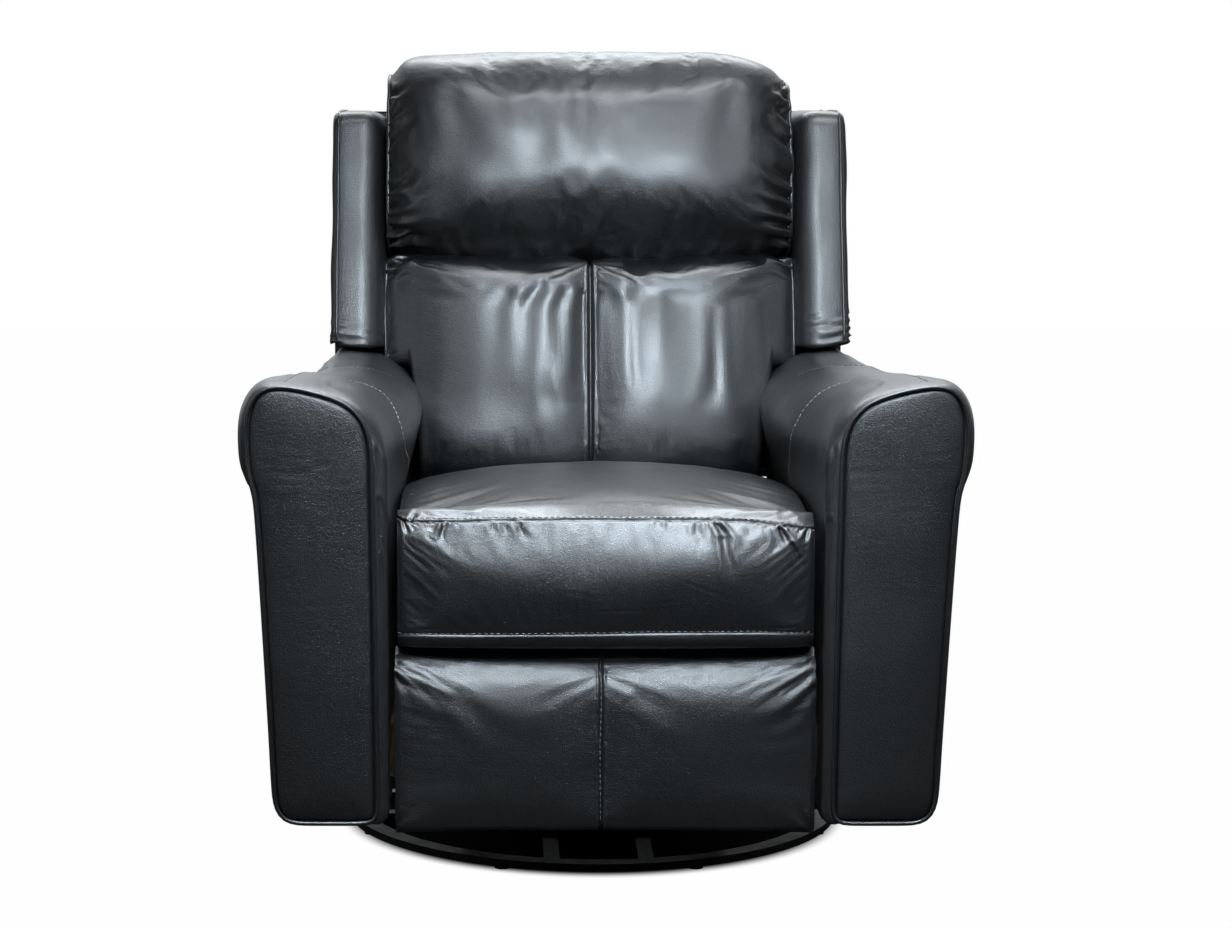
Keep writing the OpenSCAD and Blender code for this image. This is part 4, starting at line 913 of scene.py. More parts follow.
WING_FOLDS = {
    -1: [Fold((333, 338), (372, 334), 2.4, 2.2, 2), Fold((334, 344), (380, 341), 2.6, 2.0, -2),
         Fold((336, 330), (360, 327), 1.6, 2.0), Fold((382, 336), (352, 331), 1.8, 1.8),
         Fold((335, 322), (352, 318), 1.2, 2.4)],
    1: [Fold((852, 331), (806, 337), 2.6, 2.2, -3), Fold((853, 338), (805, 345), 2.6, 2.0, 2),
        Fold((852, 324), (822, 327), 1.8, 2.0), Fold((806, 328), (836, 323), 1.6, 1.8),
        Fold((851, 316), (832, 313), 1.4, 2.4), Fold((806, 318), (826, 314), 1.2, 2.4)],
}
for side, word in SIDES:
    wing = loft("wing_cover_" + word, wing_rings(side))
    points = points_of(wing)
    front = smooth_step((-to_back(points)[1] - 110) / 40)
    lumps = lumps_of(points, (85, 15 + side, 2.4))
    push(wing, front * all_folds(on_picture(points), WING_FOLDS[side])
         + lumps * smooth_step((points[:, 2] - 640) / 60))
    dress(wing, "back", leather_main, ["back_wing_" + word])
    edge = wing_outline(2)
    seen = (edge[:, 1] > WING_LOW_Z + 8) & (edge[:, 0] < on_line(70, WING_TOP_Z)[0])
    ring = np.column_stack([np.full(WING_COUNT, side * (WING_OUT - WING_WELT_INSET)), edge])
    line = edge_line(ring, seen, 0)
    welt("wing_welt_" + word, wing, line, 2.2, "back", lift=0.9)
print("wings done")

# %% [markdown]
# ## Arms
# Each arm is a plywood panel under padding. Its section is narrow beside the back and flares into a wide
# front with a rounded top, higher on the outside. The front face is framed by a welt, and the cover swells
# out behind that welt, most of all at the roll. The section is drawn once at the front and once for each
# distance behind it, and the arm is the blend of the two.

# %% The arm's front outline and its sections
ARM_HALF, ARM_TOP, ARM_ROLL, BOX_HALF, BOX_Z = 435, 633, 73, 261, 106
ARM_FACE_Y, ARM_FRONT_Y, ARM_BACK_Y = -492, -484, 192
LINING = 259.6
Y_SHARES = [0, 0.06, 0.2, 0.42, 0.68, 0.86, 1]
ROLL_SHARES = [1, 0.95, 0.897, 0.867, 0.84, 0.832, 0.828]
WAIST_SHARES = [0.952, 0.915, 0.884, 0.856, 0.834, 0.828, 0.824]
FOOT_SHARES = [0.908, 0.9, 0.885, 0.862, 0.838, 0.828, 0.822]
BULGE_SHARES = [0.99, 0.965, 0.925, 0.9, 0.89, 0.89, 0.9]
TOP_SHARES = [0.99, 0.994, 0.994, 0.99, 0.985, 0.983, 0.983]
TOP_SLANT, INNER_SLANT = 0.13, 0.3
INNER_FRONT, INNER_REAR = 256.5, 254.9
WAIST_Z, FOOT_ROUND, LINING_ROUND = 505, 16, 14
LINING_TOP_Z, INNER_LOW_Z, INNER_TOP_Z = 340, 365, 450
ARM_COUNT = 300

Edge = namedtuple("Edge", "x z out")
FACE_EDGE = [
    Edge(417, 503, 4), Edge(413, 450, 4), Edge(407, 340, 4), Edge(401, 220, 4), Edge(397.5, 145, 3),
    Edge(394, 124, 3), Edge(386, 112, 2), Edge(372, 107.5, 1.5), Edge(335, 107, 1), Edge(300, 107, 1),
    Edge(281, 108, 3), Edge(274, 115, 13), Edge(273, 140, 13.3), Edge(273.5, 200, 13.8), Edge(275, 330, 15.3),
    Edge(276.5, 450, 16.8), Edge(277.5, 525, 17.6), Edge(279, 560, 16), Edge(284, 583, 13), Edge(292, 598, 10),
    Edge(304, 610, 8), Edge(320, 618.5, 7), Edge(340, 625, 6), Edge(361, 630, 5), Edge(381, 633, 4.5),
    Edge(394, 633, 5), Edge(406, 630, 7), Edge(416, 622, 9), Edge(423, 607, 11), Edge(426.5, 589, 12),
    Edge(427, 566, 12.5), Edge(425.5, 541, 12), Edge(422, 520, 8),
]


def ring_normals(ring):
    """Outward directions of a closed ring in x and z that runs clockwise from above the foot."""
    ahead = np.roll(ring, -1, 0) - np.roll(ring, 1, 0)
    out = np.column_stack([ahead[:, 1], -ahead[:, 0]])
    out /= np.linalg.norm(out, axis=1)[:, None]
    centre = ring.mean(0)
    return out if np.sum((ring - centre) * out) > 0 else -out


face = even_ring(curve_through(FACE_EDGE, [8] * len(FACE_EDGE)), ARM_COUNT)
face_line, face_out = face[:, :2], face[:, 2]
face_normal = ring_normals(face_line)


def arm_section(t):
    """The arm's outline at t, from 0 at the front to 1 at the back, as x and z from the waist round."""
    roll, waist, foot, bulge, top = (size * float(np.interp(t, Y_SHARES, shares)) for size, shares in (
        (ARM_HALF, ROLL_SHARES), (ARM_HALF, WAIST_SHARES), (ARM_HALF, FOOT_SHARES), (BOX_HALF, BULGE_SHARES),
        (ARM_TOP, TOP_SHARES)))
    inner = INNER_FRONT + (INNER_REAR - INNER_FRONT) * smooth_step((t - 0.85) / 0.1)
    low = min(max(inner, bulge), LINING)
    middle, reach = (bulge + roll) / 2, (roll - bulge) / 2
    line = [(waist, WAIST_Z), (foot, BOX_Z + FOOT_ROUND), (foot - 5, BOX_Z + 5), (foot - FOOT_ROUND, BOX_Z),
            (LINING + LINING_ROUND, BOX_Z), (LINING + 4, BOX_Z + 4), (LINING, BOX_Z + LINING_ROUND),
            (LINING, LINING_TOP_Z), (low, INNER_LOW_Z), (low, INNER_TOP_Z)]
    turn = np.linspace(math.radians(192), math.radians(-25), 40)
    boxy = np.where((np.cos(turn) > 0) & (np.sin(turn) > 0), 2 / (2 + 5 * t ** 0.7), 1)
    across, rise = squared(np.cos(turn), boxy), squared(np.sin(turn), boxy)
    slant = np.where(across > 0, TOP_SLANT, INNER_SLANT)
    slant = slant * reach * across * np.clip(rise, 0, 1) * smooth_step(t / 0.7)
    line += list(zip(middle + reach * across, top - ARM_ROLL + ARM_ROLL * rise + slant))
    return steady(even_ring(np.array(line), ARM_COUNT), 3, True)


FLARE_DEPTH, FLARE_DEPTH_INSIDE, BLEND_LENGTH = 46, 7.4, 270
FACE_INSET, FACE_SINK = 9, 5
FLARE_STEPS, LENGTH_STEPS = 14, 112
REAR_CLOSE = ((0.03, 1.5), (0.08, 3.5), (0.2, 5), (0.6, 5), (0.97, 5))
inside = smooth_step((300 - face_line[:, 0]) / 18) * smooth_step((598 - face_line[:, 1]) / 50)
flare = FLARE_DEPTH + (FLARE_DEPTH_INSIDE - FLARE_DEPTH) * inside
sections = [(np.full(ARM_COUNT, ARM_FACE_Y + FACE_SINK), face_line - face_normal * FACE_INSET)]
for turn in np.linspace(0, math.pi / 2, FLARE_STEPS):
    line = face_line + face_normal * (face_out * math.sin(turn))[:, None]
    sections.append((ARM_FACE_Y + flare * (1 - math.cos(turn)), line))
start_y, front_line = sections[-1]
ARM_START = ARM_FACE_Y + FLARE_DEPTH
for along in np.linspace(0, 1, LENGTH_STEPS)[1:]:
    y = start_y + (ARM_BACK_Y - start_y) * along
    share = smooth_step((y - start_y) / BLEND_LENGTH)[:, None]
    here = arm_section(along + (1 - along) * FLARE_DEPTH / (ARM_BACK_Y - ARM_FRONT_Y))
    sections.append((y, front_line * (1 - share) + here * share))
for inset, y in REAR_CLOSE:
    sections.append((np.full(ARM_COUNT, ARM_BACK_Y + y), here * (1 - inset) + here.mean(0) * inset))
print("arm sections:", len(sections))

# %% [markdown]
# Behind the back's side the arm goes on as a low tail that closes the seat box. The cover is one piece
# with it. A seam crosses each arm behind its front, and a curved top stitch runs down its inner side. In
# the outside of the left arm the cover sinks behind the bezel of the release cup, so that its flange lies
# on leather and the cup and paddle have their room.

# %% Arms
TAIL_HALF, TAIL_START, TAIL_END, TAIL_HIGH, TAIL_LOW = 357.5, 186, 334, 398, 309
TAIL_COUNT, TAIL_POWER = 120, 2 / 9
TAIL_STEPS = ((TAIL_START, 8), (TAIL_START, 0), *((y, 0) for y in np.linspace(200, 322, 12)),
              (328, 1), (332, 4), (TAIL_END, 9))


def tail_ring(side, y, inset=0.0):
    top = TAIL_HIGH + (TAIL_LOW - TAIL_HIGH) * (y - TAIL_START) / (TAIL_END - TAIL_START)
    angle = np.linspace(0, 2 * math.pi, TAIL_COUNT, endpoint=False)
    x = (LINING + TAIL_HALF) / 2 + ((TAIL_HALF - LINING) / 2 - inset) * squared(np.cos(angle), TAIL_POWER)
    z = (BOX_Z + top) / 2 + ((top - BOX_Z) / 2 - inset) * squared(np.sin(angle), TAIL_POWER)
    return np.column_stack([side * x, np.full(TAIL_COUNT, y), z])


CROSS_SEAM = {
    -1: [(284, 380), (298, 372.5), (311, 369), (325, 366.5), (340, 365.5), (354, 365.5), (374, 368.5),
         (392, 375)],
    1: [(797, 374), (812, 368), (830, 365), (850, 364), (872, 365.5), (893, 369), (912, 374), (928, 380)],
}
SEAM_STITCH_DROP = 1.6
GROOVE_DEPTH, GROOVE_WIDTH = 1.8, 1.1
LUMPS_LOW_Z, FOLDS_LOW_Z, FOLDS_REAR_Y = 480, 120, 40
ARM_STITCH = {
    -1: [(350, 381), (366, 384.5), (382, 392), (392, 404), (399, 421), (403, 436), (405.5, 452), (407, 472),
         (407, 490)],
    1: [(850, 381.5), (838, 384.5), (825, 390), (812, 400), (803, 411), (796, 424), (791, 440), (789.5, 460),
        (789, 494)],
}
ROLL_FOLDS = {
    -1: [Fold((249, 440), (240, 446), 1.6, 1.6), Fold((249, 455), (241, 452), 1.6, 1.6),
         Fold((251, 470), (243, 463), 1.8, 1.6), Fold((248, 425), (240, 432), 1.2, 1.6),
         Fold((377, 450), (385, 490), 1.6, 3), Fold((379, 500), (386, 540), 1.4, 3),
         Fold((381, 560), (387, 600), 1.2, 3), Fold((330, 384), (365, 389), 1.2, 3)],
    1: [Fold((962, 440), (971, 446), 1.6, 1.6), Fold((962, 456), (970, 450), 1.6, 1.6),
        Fold((959, 470), (967, 462), 1.8, 1.6), Fold((964, 425), (972, 430), 1.2, 1.6),
        Fold((835, 450), (824, 500), 1.6, 3), Fold((830, 520), (822, 570), 1.4, 3),
        Fold((880, 384), (850, 390), 1.2, 3)],
}
BEZEL_RIM, FLANGE_BACK, CUP_ROOM, DIMPLE = 6, 4, 34, 14
WALL_CATCH, WALL_HALF = 2.6, 0.8


def open_cup(points):
    """Sinks the cover behind the release bezel, with clean edges where it dives behind the flange."""
    low, high = (np.array(corner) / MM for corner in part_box("release_bezel"))
    middle, half = (low + high) / 2, (high - low) / 2
    reach = half[1] - half[2]
    spine_y = middle[1] + np.clip(points[:, 1] - middle[1], -reach, reach)
    spine = np.column_stack([spine_y, np.full(len(points), middle[2])])
    across = points[:, 1:] - spine
    away = np.maximum(np.linalg.norm(across, axis=1), 1)
    outer = points[:, 0] < high[0] - CUP_ROOM / 4
    wall = half[2] - BEZEL_RIM / 2
    edge = outer & (np.abs(away - wall) < WALL_CATCH)
    target = wall + WALL_HALF * np.where(away < wall, -1, 1)
    points[edge, 1:] = (spine + across * (target / away)[:, None])[edge]
    share = smooth_step((half[2] + DIMPLE - away) / DIMPLE) * outer
    points[:, 0] += (low[0] + FLANGE_BACK - points[:, 0]) * share
    points[outer & (away < wall), 0] = low[0] + CUP_ROOM
    return points


for side, word in SIDES:
    body = [np.column_stack([side * line[:, 0], y, line[:, 1]]) for y, line in sections]
    tail = [tail_ring(side, y, inset) for y, inset in TAIL_STEPS]
    arm = loft("arm_cover_" + word, body, tail)
    points = points_of(arm)
    flat = on_picture(points)
    seed = 50 + side
    lumps = lumps_of(points, (120, seed, 3), (45, seed + 5, 0.9))
    high = smooth_step((points[:, 2] - LUMPS_LOW_Z) / 60) * smooth_step((ARM_BACK_Y - 30 - points[:, 1]) / 90)
    ends = smooth_step((points[:, 1] - ARM_START) / 50)
    up = smooth_step(read(arm, "normal")[:, 2] * 4 + 0.4)
    groove = -GROOVE_DEPTH * gauss(near_line(flat, CROSS_SEAM[side]), GROOVE_WIDTH) * high * up
    shown = (points[:, 2] > FOLDS_LOW_Z) & (points[:, 1] < FOLDS_REAR_Y)
    push(arm, lumps * high * ends + groove + all_folds(flat, ROLL_FOLDS[side]) * shown)
    if side < 0:
        set_points(arm, open_cup(points_of(arm)))
    dress(arm, "carriage", leather_main, ["arm_padding_" + word])
    stitches("arm_stitches_" + word, arm, from_picture(arm, ARM_STITCH[side]), "carriage")
    beside = [(column, row + SEAM_STITCH_DROP) for column, row in CROSS_SEAM[side]]
    stitches("arm_seam_stitches_" + word, arm, from_picture(arm, beside), "carriage", thread_dark)
print("arms done")

# %% [markdown]
# The front panel of an arm is leather over a thin pad on board. It is drawn from its edge inward: each ring
# of points lies a little nearer to a line down the panel's middle, and a little prouder, so that the panel
# crowns by a few millimetres and turns in sharply under the welt.

# %% Arm fronts and their welts
PANEL_LAYERS = [(0.0, 8.5), (0.0, 5.0), (0.02, 2.2), (0.045, 0.9), (0.08, 0.1), (0.13, -0.5), (0.2, -1.1),
                (0.3, -1.8), (0.42, -2.4), (0.55, -2.9), (0.7, -3.2), (0.85, -3.4), (0.97, -3.5)]
SPINE_LOW_Z, SPINE_TOP_Z = 175, 566
SPINE_HEIGHTS, SPINE_PLACES = (106, 505, 633), (335, 345, 352)
PANEL_INSET, PANEL_Y, CORD_Y, CORD_RADIUS = 3.4, -494.6, -493.2, 2.7
PANEL_FOLDS = {
    -1: [Fold((262, 463), (300, 461), 0.9, 1.2), Fold((300, 466), (360, 470), 0.8, 1.2, -3),
         Fold((270, 474), (320, 473), 0.7, 1.2), Fold((372, 489), (318, 488), 0.9, 1.2, 2),
         Fold((268, 491), (330, 494), 0.8, 1.2), Fold((300, 431), (352, 434), 0.6, 1.3),
         Fold((266, 452), (330, 448), 0.6, 1.3), Fold((275, 508), (345, 512), 0.7, 1.4),
         Fold((370, 541), (310, 538), 0.6, 1.4), Fold((300, 605), (352, 608), 0.5, 1.4),
         Fold((290, 700), (340, 697), 0.5, 1.6)],
    1: [Fold((950, 452), (900, 449), 0.8, 1.2), Fold((946, 462), (880, 468), 0.8, 1.2, 3),
        Fold((850, 472), (905, 470), 0.7, 1.2), Fold((845, 490), (900, 494), 0.9, 1.2),
        Fold((940, 486), (895, 483), 0.7, 1.2), Fold((930, 510), (870, 514), 0.7, 1.4),
        Fold((850, 541), (900, 537), 0.6, 1.4), Fold((920, 590), (870, 594), 0.5, 1.4),
        Fold((860, 690), (915, 694), 0.5, 1.6)],
}


def panel_ring(side, share, depth):
    spine_z = np.clip(face_line[:, 1], SPINE_LOW_Z, SPINE_TOP_Z)
    spine = np.column_stack([np.interp(spine_z, SPINE_HEIGHTS, SPINE_PLACES), spine_z])
    line = (face_line - face_normal * PANEL_INSET) * (1 - share) + spine * share
    return np.column_stack([side * line[:, 0], np.full(ARM_COUNT, PANEL_Y + depth), line[:, 1]])


for side, word in SIDES:
    panel = loft("arm_panel_" + word, [panel_ring(side, share, depth) for share, depth in PANEL_LAYERS])
    points = points_of(panel)
    free = smooth_step((ARM_FACE_Y - 1 - points[:, 1]) / 3)
    folds = all_folds(on_picture(points), PANEL_FOLDS[side])
    push(panel, free * (folds + lumps_of(points, (75, 61 + side, 1.1))))
    dress(panel, "carriage", leather_flat, ["arm_front_" + word])
    ring = np.column_stack([side * face_line[:, 0], np.full(ARM_COUNT, CORD_Y), face_line[:, 1]])
    cord = tube("arm_welt_cord_" + word, steady(ring[::2], 2, True), CORD_RADIUS, closed=True, sides=12)
    dress(cord, "carriage", leather_welt, ["arm_welt_" + word])
print("arm fronts done")

# %% [markdown]
# ## Seat cushion
# The seat is a boxed cushion: a crowned top panel, and a front band that swells just under the seam that
# joins them. The band is stitched again near its foot, and its last strip rolls under the seat. Along the
# seam the leather puckers, and a few longer folds run down at the right. Its sides are flat, against the
# arms, and so are the footrest's.

# %% Seat cushion
SEAT_HALF, SEAT_CROWN, SEAT_SEAM_Z, SEAT_ROUND = 249, 505, 474, 12
SEAT_UNDER_Z = 321
SEAT_ROWS = 170
SEAT_COUNTS = [40, 26, 16, 10, 12, 14, 16, 20, 20, 16, 14, 12, 10, 8, 8, 8, 14, 5]


def seat_ring(t, shrink=1.0, out=0.0):
    crown = SEAT_CROWN - 5 - 16 * t * t - 8 * abs(t) ** 10
    seam = SEAT_SEAM_Z - 2 * t - 5 * abs(t) ** 8
    foot = 315 + 6 * abs(t) ** 3
    back = SEAT_ROUND * abs(t) ** 14
    line = curve_through([
        (-40, crown - 22), (-250, crown), (-385, crown - 7), (-436, crown - 16),
        (-459, seam + 9 + (crown - seam) * 0.15), (-473, seam + 1), (-483.5, seam - 9), (-490, seam - 24),
        (-491.5, 412), (-489.5, 362), (-488, 339), (-486.5, 328), (-480, 319), (-466, foot), (-440, foot + 4),
        (-400, SEAT_UNDER_Z), (10, SEAT_UNDER_Z), (18, 380)], SEAT_COUNTS)
    line[:, 0] = np.where(line[:, 0] < -300, line[:, 0] + back, line[:, 0])
    return np.column_stack([np.full(len(line), t * SEAT_HALF + out), shrunk(line, shrink)])


FLAT_GUSSET = ((0.985, 0.0), (0.9, 0.0), (0.6, 0.0), (0.1, 0.0))
seat = loft("seat_cover", gusset(seat_ring, across_steps(SEAT_ROWS), FLAT_GUSSET))
SEAT_SEAM = [(397, 517), (402, 520), (411, 521.5), (447, 521), (510, 519.5), (610, 519), (685, 519.5),
             (747, 521), (785, 525), (805, 528), (819, 528)]
SEAT_STITCH = [(398, 634), (470, 635), (560, 634.5), (680, 633), (760, 632.5), (812, 633)]


def sewn_seat(points):
    flat = on_picture(points)
    seam = gauss(near_line(flat, SEAT_SEAM), 3) + gauss(near_line(flat, SEAT_STITCH), 3)
    return np.maximum.reduce([smooth_step((np.abs(points[:, 0]) - 238) / 10), np.clip(seam, 0, 1),
                              smooth_step((points[:, 1] + 60) / 60), smooth_step((340 - points[:, 2]) / 14)])


swell(seat, sewn_seat, cap=22, spare=0.002)

SEAT_FOLDS = [
    Fold((445, 524), (438, 546), 3.4, 2.6), Fold((492, 523), (493, 534), 2.6, 2),
    Fold((503, 523), (507, 536), 2.2, 2), Fold((518, 523), (526, 543), 3.2, 2.6),
    Fold((657, 522), (660, 532), 2, 2), Fold((697, 523), (696, 540), 2.2, 2.4),
    Fold((717, 524), (731, 556), 4.6, 3.2, -2), Fold((722, 540), (738, 590), 2.2, 4),
    Fold((780, 529), (793, 552), 3.4, 2.6), Fold((792, 545), (803, 578), 1.8, 3),
    Fold((404, 524), (410, 540), 2.2, 2), Fold((808, 531), (802, 548), 2.2, 2.2),
    Fold((680, 580), (748, 606), 0.7, 1.2), Fold((690, 600), (640, 606), 0.6, 1.2),
    Fold((600, 612), (660, 610), 0.6, 1.2), Fold((560, 592), (615, 600), 0.5, 1.4),
    Fold((778, 500), (786, 518), 2, 2.6), Fold((410, 520), (421, 507), 1.6, 2.2),
    Fold((786, 498), (812, 522), 1.4, 3),
]
SEAM_STITCH_RISE, FOOT_STITCH_RISE = 2.2, 1.4
points = points_of(seat)
flat = on_picture(points)
below = near_line(flat, SEAT_SEAM)
front = smooth_step((-points[:, 1] - 420) / 30)
folds = sewn_folds(flat, SEAT_FOLDS,
                   Gather(SEAT_SEAM, aim=(600, 700), count=44, reach=9, depth=1.5, width=1.3, seed=71),
                   Gather(SEAT_SEAM, aim=(600, 300), count=30, reach=5, depth=0.8, width=1.2, seed=75))
groove = -3.2 * gauss(below, 1.15) - 1.6 * gauss(near_line(flat, SEAT_STITCH), 1.2)
lumps = lumps_of(points, (90, 21, 2.0), (40, 23, 0.8))
push(seat, front * (groove + folds)
     + lumps * smooth_step((-points[:, 1] - 20) / 60) * smooth_step((points[:, 2] - 325) / 20)
     * smooth_step((247 - np.abs(points[:, 0])) / 20))
dress(seat, "seat", leather_main, ["seat_cushion"])
above_seam = [(column, row - SEAM_STITCH_RISE) for column, row in SEAT_SEAM[1:-1]]
stitches("seat_seam_stitches", seat, from_picture(seat, above_seam), "seat", thread_dark)
above_foot = [(column, row - FOOT_STITCH_RISE) for column, row in SEAT_STITCH]
stitches("seat_foot_stitches", seat, from_picture(seat, above_foot), "seat")
print("seat:", len(seat.data.vertices), "points")

# %% [markdown]
# ## Footrest pad
# The footrest is a flat pad wrapped over its board. Its top edge is softly rolled and dips in the middle,
# and a seam with a lip on each side runs down it, with light stitches on the left.

# %% Footrest pad
FOOT_HALF, FOOT_SEAM_X = 252, -5
FOOT_ROWS, FOOT_REAR_Y = 150, -441.5
FOOT_COUNTS = [7, 7, 7, 8, 10, 26, 14, 10, 8, 8, 18, 14]
FOOT_SEAM_LEFT, FOOT_SEAM_RIGHT = [(600, 662), (601, 828)], [(605, 662), (605, 828)]
FOOT_STITCH = [(599.2, 672), (599.6, 745), (600, 822)]


def foot_ring(t, shrink=1.0, out=0.0):
    top = 306 + 9 * abs(t) ** 3 - 5 * abs(t) ** 26
    low = 95.5 - 2.5 * abs(t) ** 3
    corner = 7 * abs(t) ** 24
    line = curve_through([
        (-450, top - 1), (-462, top - 4.6), (-473, top - 11.7), (-481, top - 20), (-488 + corner, top - 34),
        (-491 + corner, top - 60), (-490 + corner, 150), (-489 + corner, low + 14), (-484 + corner, low + 3),
        (-474, low), (-444, low + 2), (-442, 200)], FOOT_COUNTS)
    line[:, 0] = np.minimum(line[:, 0], FOOT_REAR_Y)
    return np.column_stack([np.full(len(line), t * FOOT_HALF + out), shrunk(line, shrink)])


foot = loft("footrest_cover",
            gusset(foot_ring, across_steps(FOOT_ROWS, [FOOT_SEAM_X / FOOT_HALF]), FLAT_GUSSET))


def sewn_foot(points):
    return np.maximum.reduce([smooth_step((np.abs(points[:, 0]) - 242) / 8), gauss(points[:, 0] - FOOT_SEAM_X, 4),
                              smooth_step((points[:, 1] + 470) / 15), smooth_step((105 - points[:, 2]) / 8)])


swell(foot, sewn_foot, cap=8, spare=0.001)

FOOT_FOLDS = [
    Fold((815, 672), (752, 712), 1.6, 5), Fold((813, 690), (770, 735), 1.2, 5),
    Fold((397, 664), (430, 684), 1.8, 4), Fold((396, 676), (416, 706), 1.4, 3.4),
    Fold((640, 700), (720, 735), 1.1, 9), Fold((460, 700), (530, 760), 1.2, 10),
    Fold((396, 826), (420, 800), 1.2, 4), Fold((810, 826), (785, 800), 1.2, 4),
    Fold((813, 655), (790, 668), 1.6, 3),
]
points = points_of(foot)
flat = on_picture(points)
away = points[:, 0] - FOOT_SEAM_X
front = smooth_step((-points[:, 1] - 452) / 20)
seam = -3.6 * gauss(away, 1.8) + 0.9 * gauss(np.abs(away) - 4.2, 1.8) - 2 * gauss(away, 20)
folds = sewn_folds(flat, FOOT_FOLDS,
                   Gather(FOOT_SEAM_LEFT, aim=(420, 745), count=14, reach=7, depth=0.8, width=1.6, seed=81),
                   Gather(FOOT_SEAM_RIGHT, aim=(790, 745), count=14, reach=7, depth=0.8, width=1.6, seed=83))
lumps = lumps_of(points, (85, 27, 1.6), (36, 29, 0.6))
push(foot, front * (seam + folds + lumps * smooth_step((250 - np.abs(points[:, 0])) / 14)))
dress(foot, "footrest", leather_flat, ["footrest_pad"])
stitches("footrest_stitches", foot, from_picture(foot, FOOT_STITCH), "footrest")
print("footrest done")

# %% [markdown]
# ## Outside back and skirt
# Behind, the back is closed by a large leather panel with a narrower one under it, a strip covers its top
# edge, and a short skirt closes the seat box. Each is leather over thin wadding, with rounded edges.

# %% Panels
PANEL_COUNT = 200
EDGE_LAYERS = ((0.97, 0), (0.3, 0), (0.02, 0), (0, 0.15), (0, 0.6), (0.01, 0.85), (0.03, 1.0))
CROWN_SHARES = (0.06, 0.12, 0.2, 0.3, 0.45, 0.6, 0.75, 0.9, 0.99)


def flat_panel(name, half_width, half_height, corner, thickness, crown, place, body, replaces=()):
    """A padded panel. place turns across, along and out into the room's x, y and z."""
    corner_x, corner_z = half_width - corner, half_height - corner
    turn = np.linspace(0, math.pi / 2, 12)
    quarter = [(corner_x + corner * math.cos(a), corner_z + corner * math.sin(a)) for a in turn]
    outline = quarter + [(-x, z) for x, z in reversed(quarter)] + [(-x, -z) for x, z in quarter]
    outline += [(x, -z) for x, z in reversed(quarter)]
    outline = even_ring(np.array(outline), PANEL_COUNT)
    reach = np.maximum((half_width - half_height, half_height - half_width), 0)
    spine = np.clip(outline, -reach, reach)
    layers = [(share, thickness * rise) for share, rise in EDGE_LAYERS]
    layers += [(share, thickness + crown * (1 - (1 - share) ** 2)) for share in CROWN_SHARES]
    rings = []
    for share, out in layers:
        line = outline * (1 - share) + spine * share
        rings.append(place(line[:, 0], line[:, 1], np.full(PANEL_COUNT, out)))
    panel = loft(name, rings)
    push(panel, soft_noise(points_of(panel), 90, len(name)) * crown * 0.3)
    return dress(panel, body, leather_main, replaces)


BACK_FOOT_HALF, BACK_FOOT_U, PANEL_IN = 259, -15, 105
COVER_LOW_Z = 423
top_u, lobe_u = rise_to(WING_TOP_Z, PANEL_IN), rise_to(COVER_LOW_Z, PANEL_IN)
middle_u = (top_u + lobe_u) / 2
flat_panel("outside_back_cover", WING_OUT, (top_u - lobe_u) / 2, 18, 5, 3,
           lambda a, b, out: on_back(a, PANEL_IN + out, middle_u + b), "back", ["outside_back"])
FOOT_OVERLAP = 14
STRIP_HALF, STRIP_V, STRIP_DROP = 43, 62, 7
SKIRT_Y, SKIRT_Z, SKIRT_HALF = 322.5, 195.5, 89.5
low_middle = (lobe_u + FOOT_OVERLAP + BACK_FOOT_U) / 2
flat_panel("outside_back_foot", BACK_FOOT_HALF, (lobe_u + FOOT_OVERLAP - BACK_FOOT_U) / 2, 3, 4, 2,
           lambda a, b, out: on_back(a, PANEL_IN + out - 0.5, low_middle + b), "back")
flat_panel("back_top_strip", LUMBAR_HALF, STRIP_HALF, 6, 6, 2.5,
           lambda a, b, out: on_back(a, STRIP_V + b, top_u - STRIP_DROP + out), "back")
flat_panel("skirt_cover", 260, SKIRT_HALF, 8, 14, 3,
           lambda a, b, out: np.column_stack([a, SKIRT_Y + out, SKIRT_Z + b]), "carriage", ["rear_skirt"])
print("panels done")

# %% [markdown]
# ## Light and ground
# Black leather shows its form by what it mirrors, so eight soft boxes stand where the photograph's
# highlights call for them. One hangs above the seat and one washes the top of the footrest. Three stand in
# front for the pillow and the lumbar cushion, a weak strip on each side draws the edges, and a large one
# behind lights the arms' tops. A spread under 180 degrees is a grid that keeps a box's light to its own
# place. The ground is a near-black matte, which is what reflections see. The camera sees it as white beyond
# about a third of a metre from the middle, and as the near-black matte within that: a painted shadow disc
# under the chair, on top of the lamps' own shadow there.

# %% Lights
BLUISH, NEUTRAL = (0.78, 0.9, 1.0), (0.9, 0.96, 1.0)


def soft_light(name, place, aim, size, power, colour, spread=180):
    data = bpy.data.lights.new(name, "AREA")
    data.shape = "RECTANGLE"
    data.size, data.size_y = size
    data.energy = power
    data.color = colour
    data.spread = math.radians(spread)
    lamp = bpy.data.objects.new(name, data)
    lamp.location = place
    lamp.rotation_euler = (Vector(aim) - Vector(place)).to_track_quat("-Z", "Y").to_euler()
    scene.collection.objects.link(lamp)


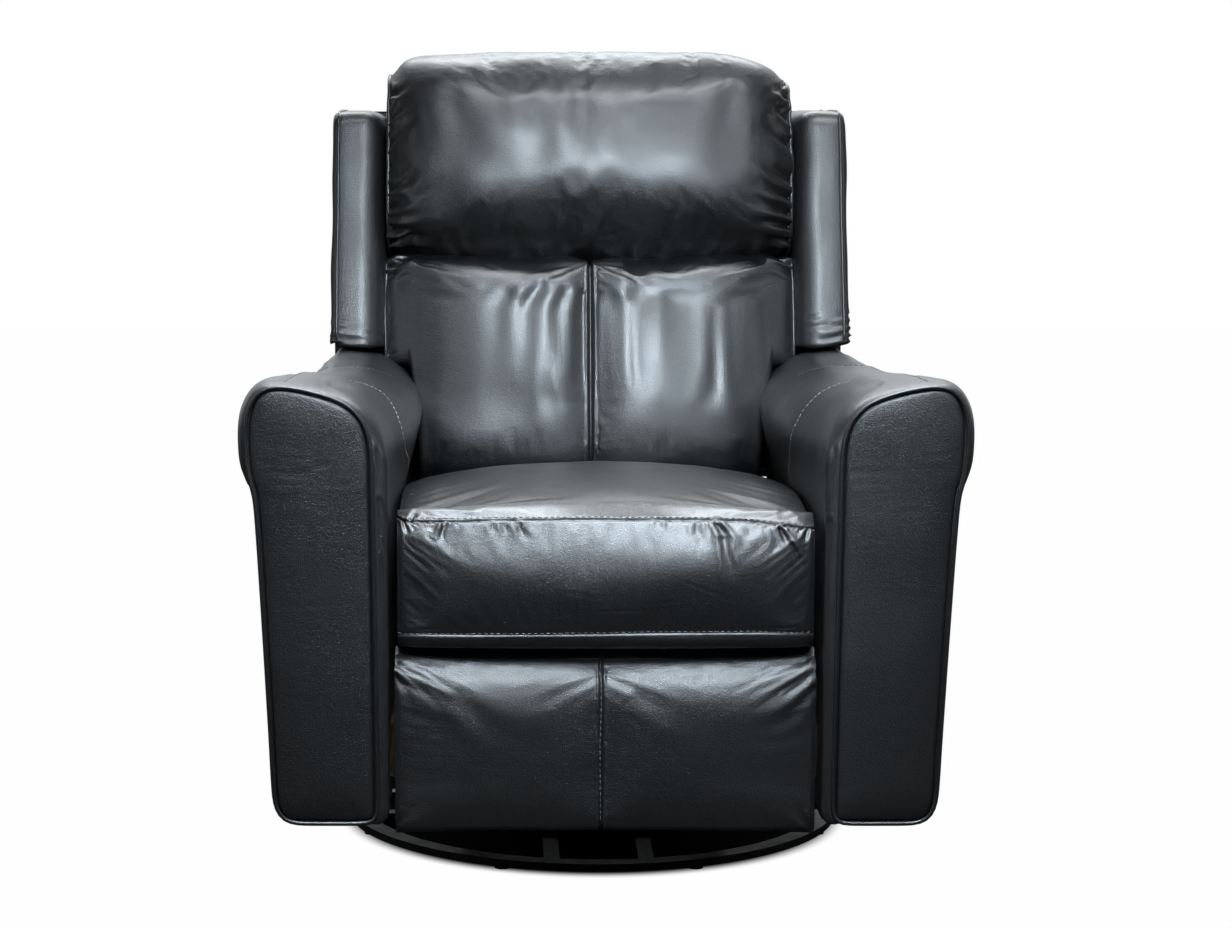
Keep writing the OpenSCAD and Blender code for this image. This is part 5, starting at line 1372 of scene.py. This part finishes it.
soft_light("overhead", (0.1, -0.65, 2.5), (0.05, -0.45, 0.4), (2.2, 0.6), 24, NEUTRAL, 60)
soft_light("foot_box", (0.0, -1.55, 1.95), (0.0, -0.48, 0.28), (0.9, 0.35), 3.8, BLUISH, 40)
soft_light("front_high", (0.15, -2.0, 2.15), (0.05, 0.0, 0.8), (0.42, 0.5), 13, BLUISH)
soft_light("front_low", (0.13, -2.0, 1.76), (0.03, 0.0, 0.66), (0.56, 0.4), 5, BLUISH, 44)
soft_light("front_fill", (0.0, -2.3, 2.5), (0.0, 0.0, 0.7), (2.2, 0.9), 14, BLUISH)
soft_light("left_strip", (-2.5, -1.3, 1.3), (0, 0, 0.6), (0.6, 1.8), 9, NEUTRAL)
soft_light("right_strip", (2.6, -1.1, 1.3), (0, 0, 0.6), (0.6, 1.8), 8, NEUTRAL)
soft_light("rear_top", (0, 1.9, 2.5), (0, -0.2, 0.7), (2.4, 0.8), 52, NEUTRAL)
scene.view_settings.view_transform = "Standard"
print("lights set")

# %% Ground and backdrop
SHADE_NEAR, SHADE_FAR = 0.316, 0.35
ground_finish = Finish("ground")
# A near-black matte: reflections and bounced light see it everywhere, and the camera sees it under the chair as a
# painted shadow disc.
matte = ground_finish.node("ShaderNodeBsdfDiffuse", None, {"Color": (0.03, 0.029, 0.028, 1)})
glow = ground_finish.node("ShaderNodeEmission", None, {"Color": (1, 1, 1, 1), "Strength": 1.0})
here = ground_finish.node("ShaderNodeTexCoord", output="Object")
radius = ground_finish.node("ShaderNodeVectorMath", {"operation": "LENGTH"}, {0: here}, output="Value")
seen = ground_finish.node("ShaderNodeLightPath", output="Is Camera Ray")
# Painted shadow: within SHADE_NEAR of the middle the camera sees the near-black matte, fading to white by
# SHADE_FAR.
share = ground_finish.ease(radius, SHADE_NEAR, SHADE_FAR, 0.0, 0.99) * seen
ground_finish.show(ground_finish.node("ShaderNodeMixShader", None, {0: share, 1: matte, 2: glow}))
REACH, GROUND_Z = 9000, -0.5
corners = [(x * REACH, y * REACH, GROUND_Z) for x, y in ((-1, -1), (1, -1), (1, 1), (-1, 1))]
ground = make_mesh("ground", corners, [(0, 1, 2, 3)])
ground.data.materials.append(ground_finish.material)

scene.world = bpy.data.worlds.new("studio")
sky = Finish("sky", scene.world)
around = sky.node("ShaderNodeTexCoord", output="Generated")
toward = sky.node("ShaderNodeSeparateXYZ", None, {0: around}, output="Y")
strength = sky.ease(toward, 0.2, 0.95, 0.04, 0.8)
dim = sky.node("ShaderNodeBackground", None, {"Color": (0.94, 0.97, 1.0, 1), "Strength": strength})
bright = sky.node("ShaderNodeBackground", None, {"Color": (1, 1, 1, 1), "Strength": 1.0})
seen = sky.node("ShaderNodeLightPath", output="Is Camera Ray")
mixed = sky.node("ShaderNodeMixShader", None, {0: seen, 1: dim, 2: bright})
sky.node("ShaderNodeOutputWorld", None, {"Surface": mixed}, output=None)
print("ground and sky set")
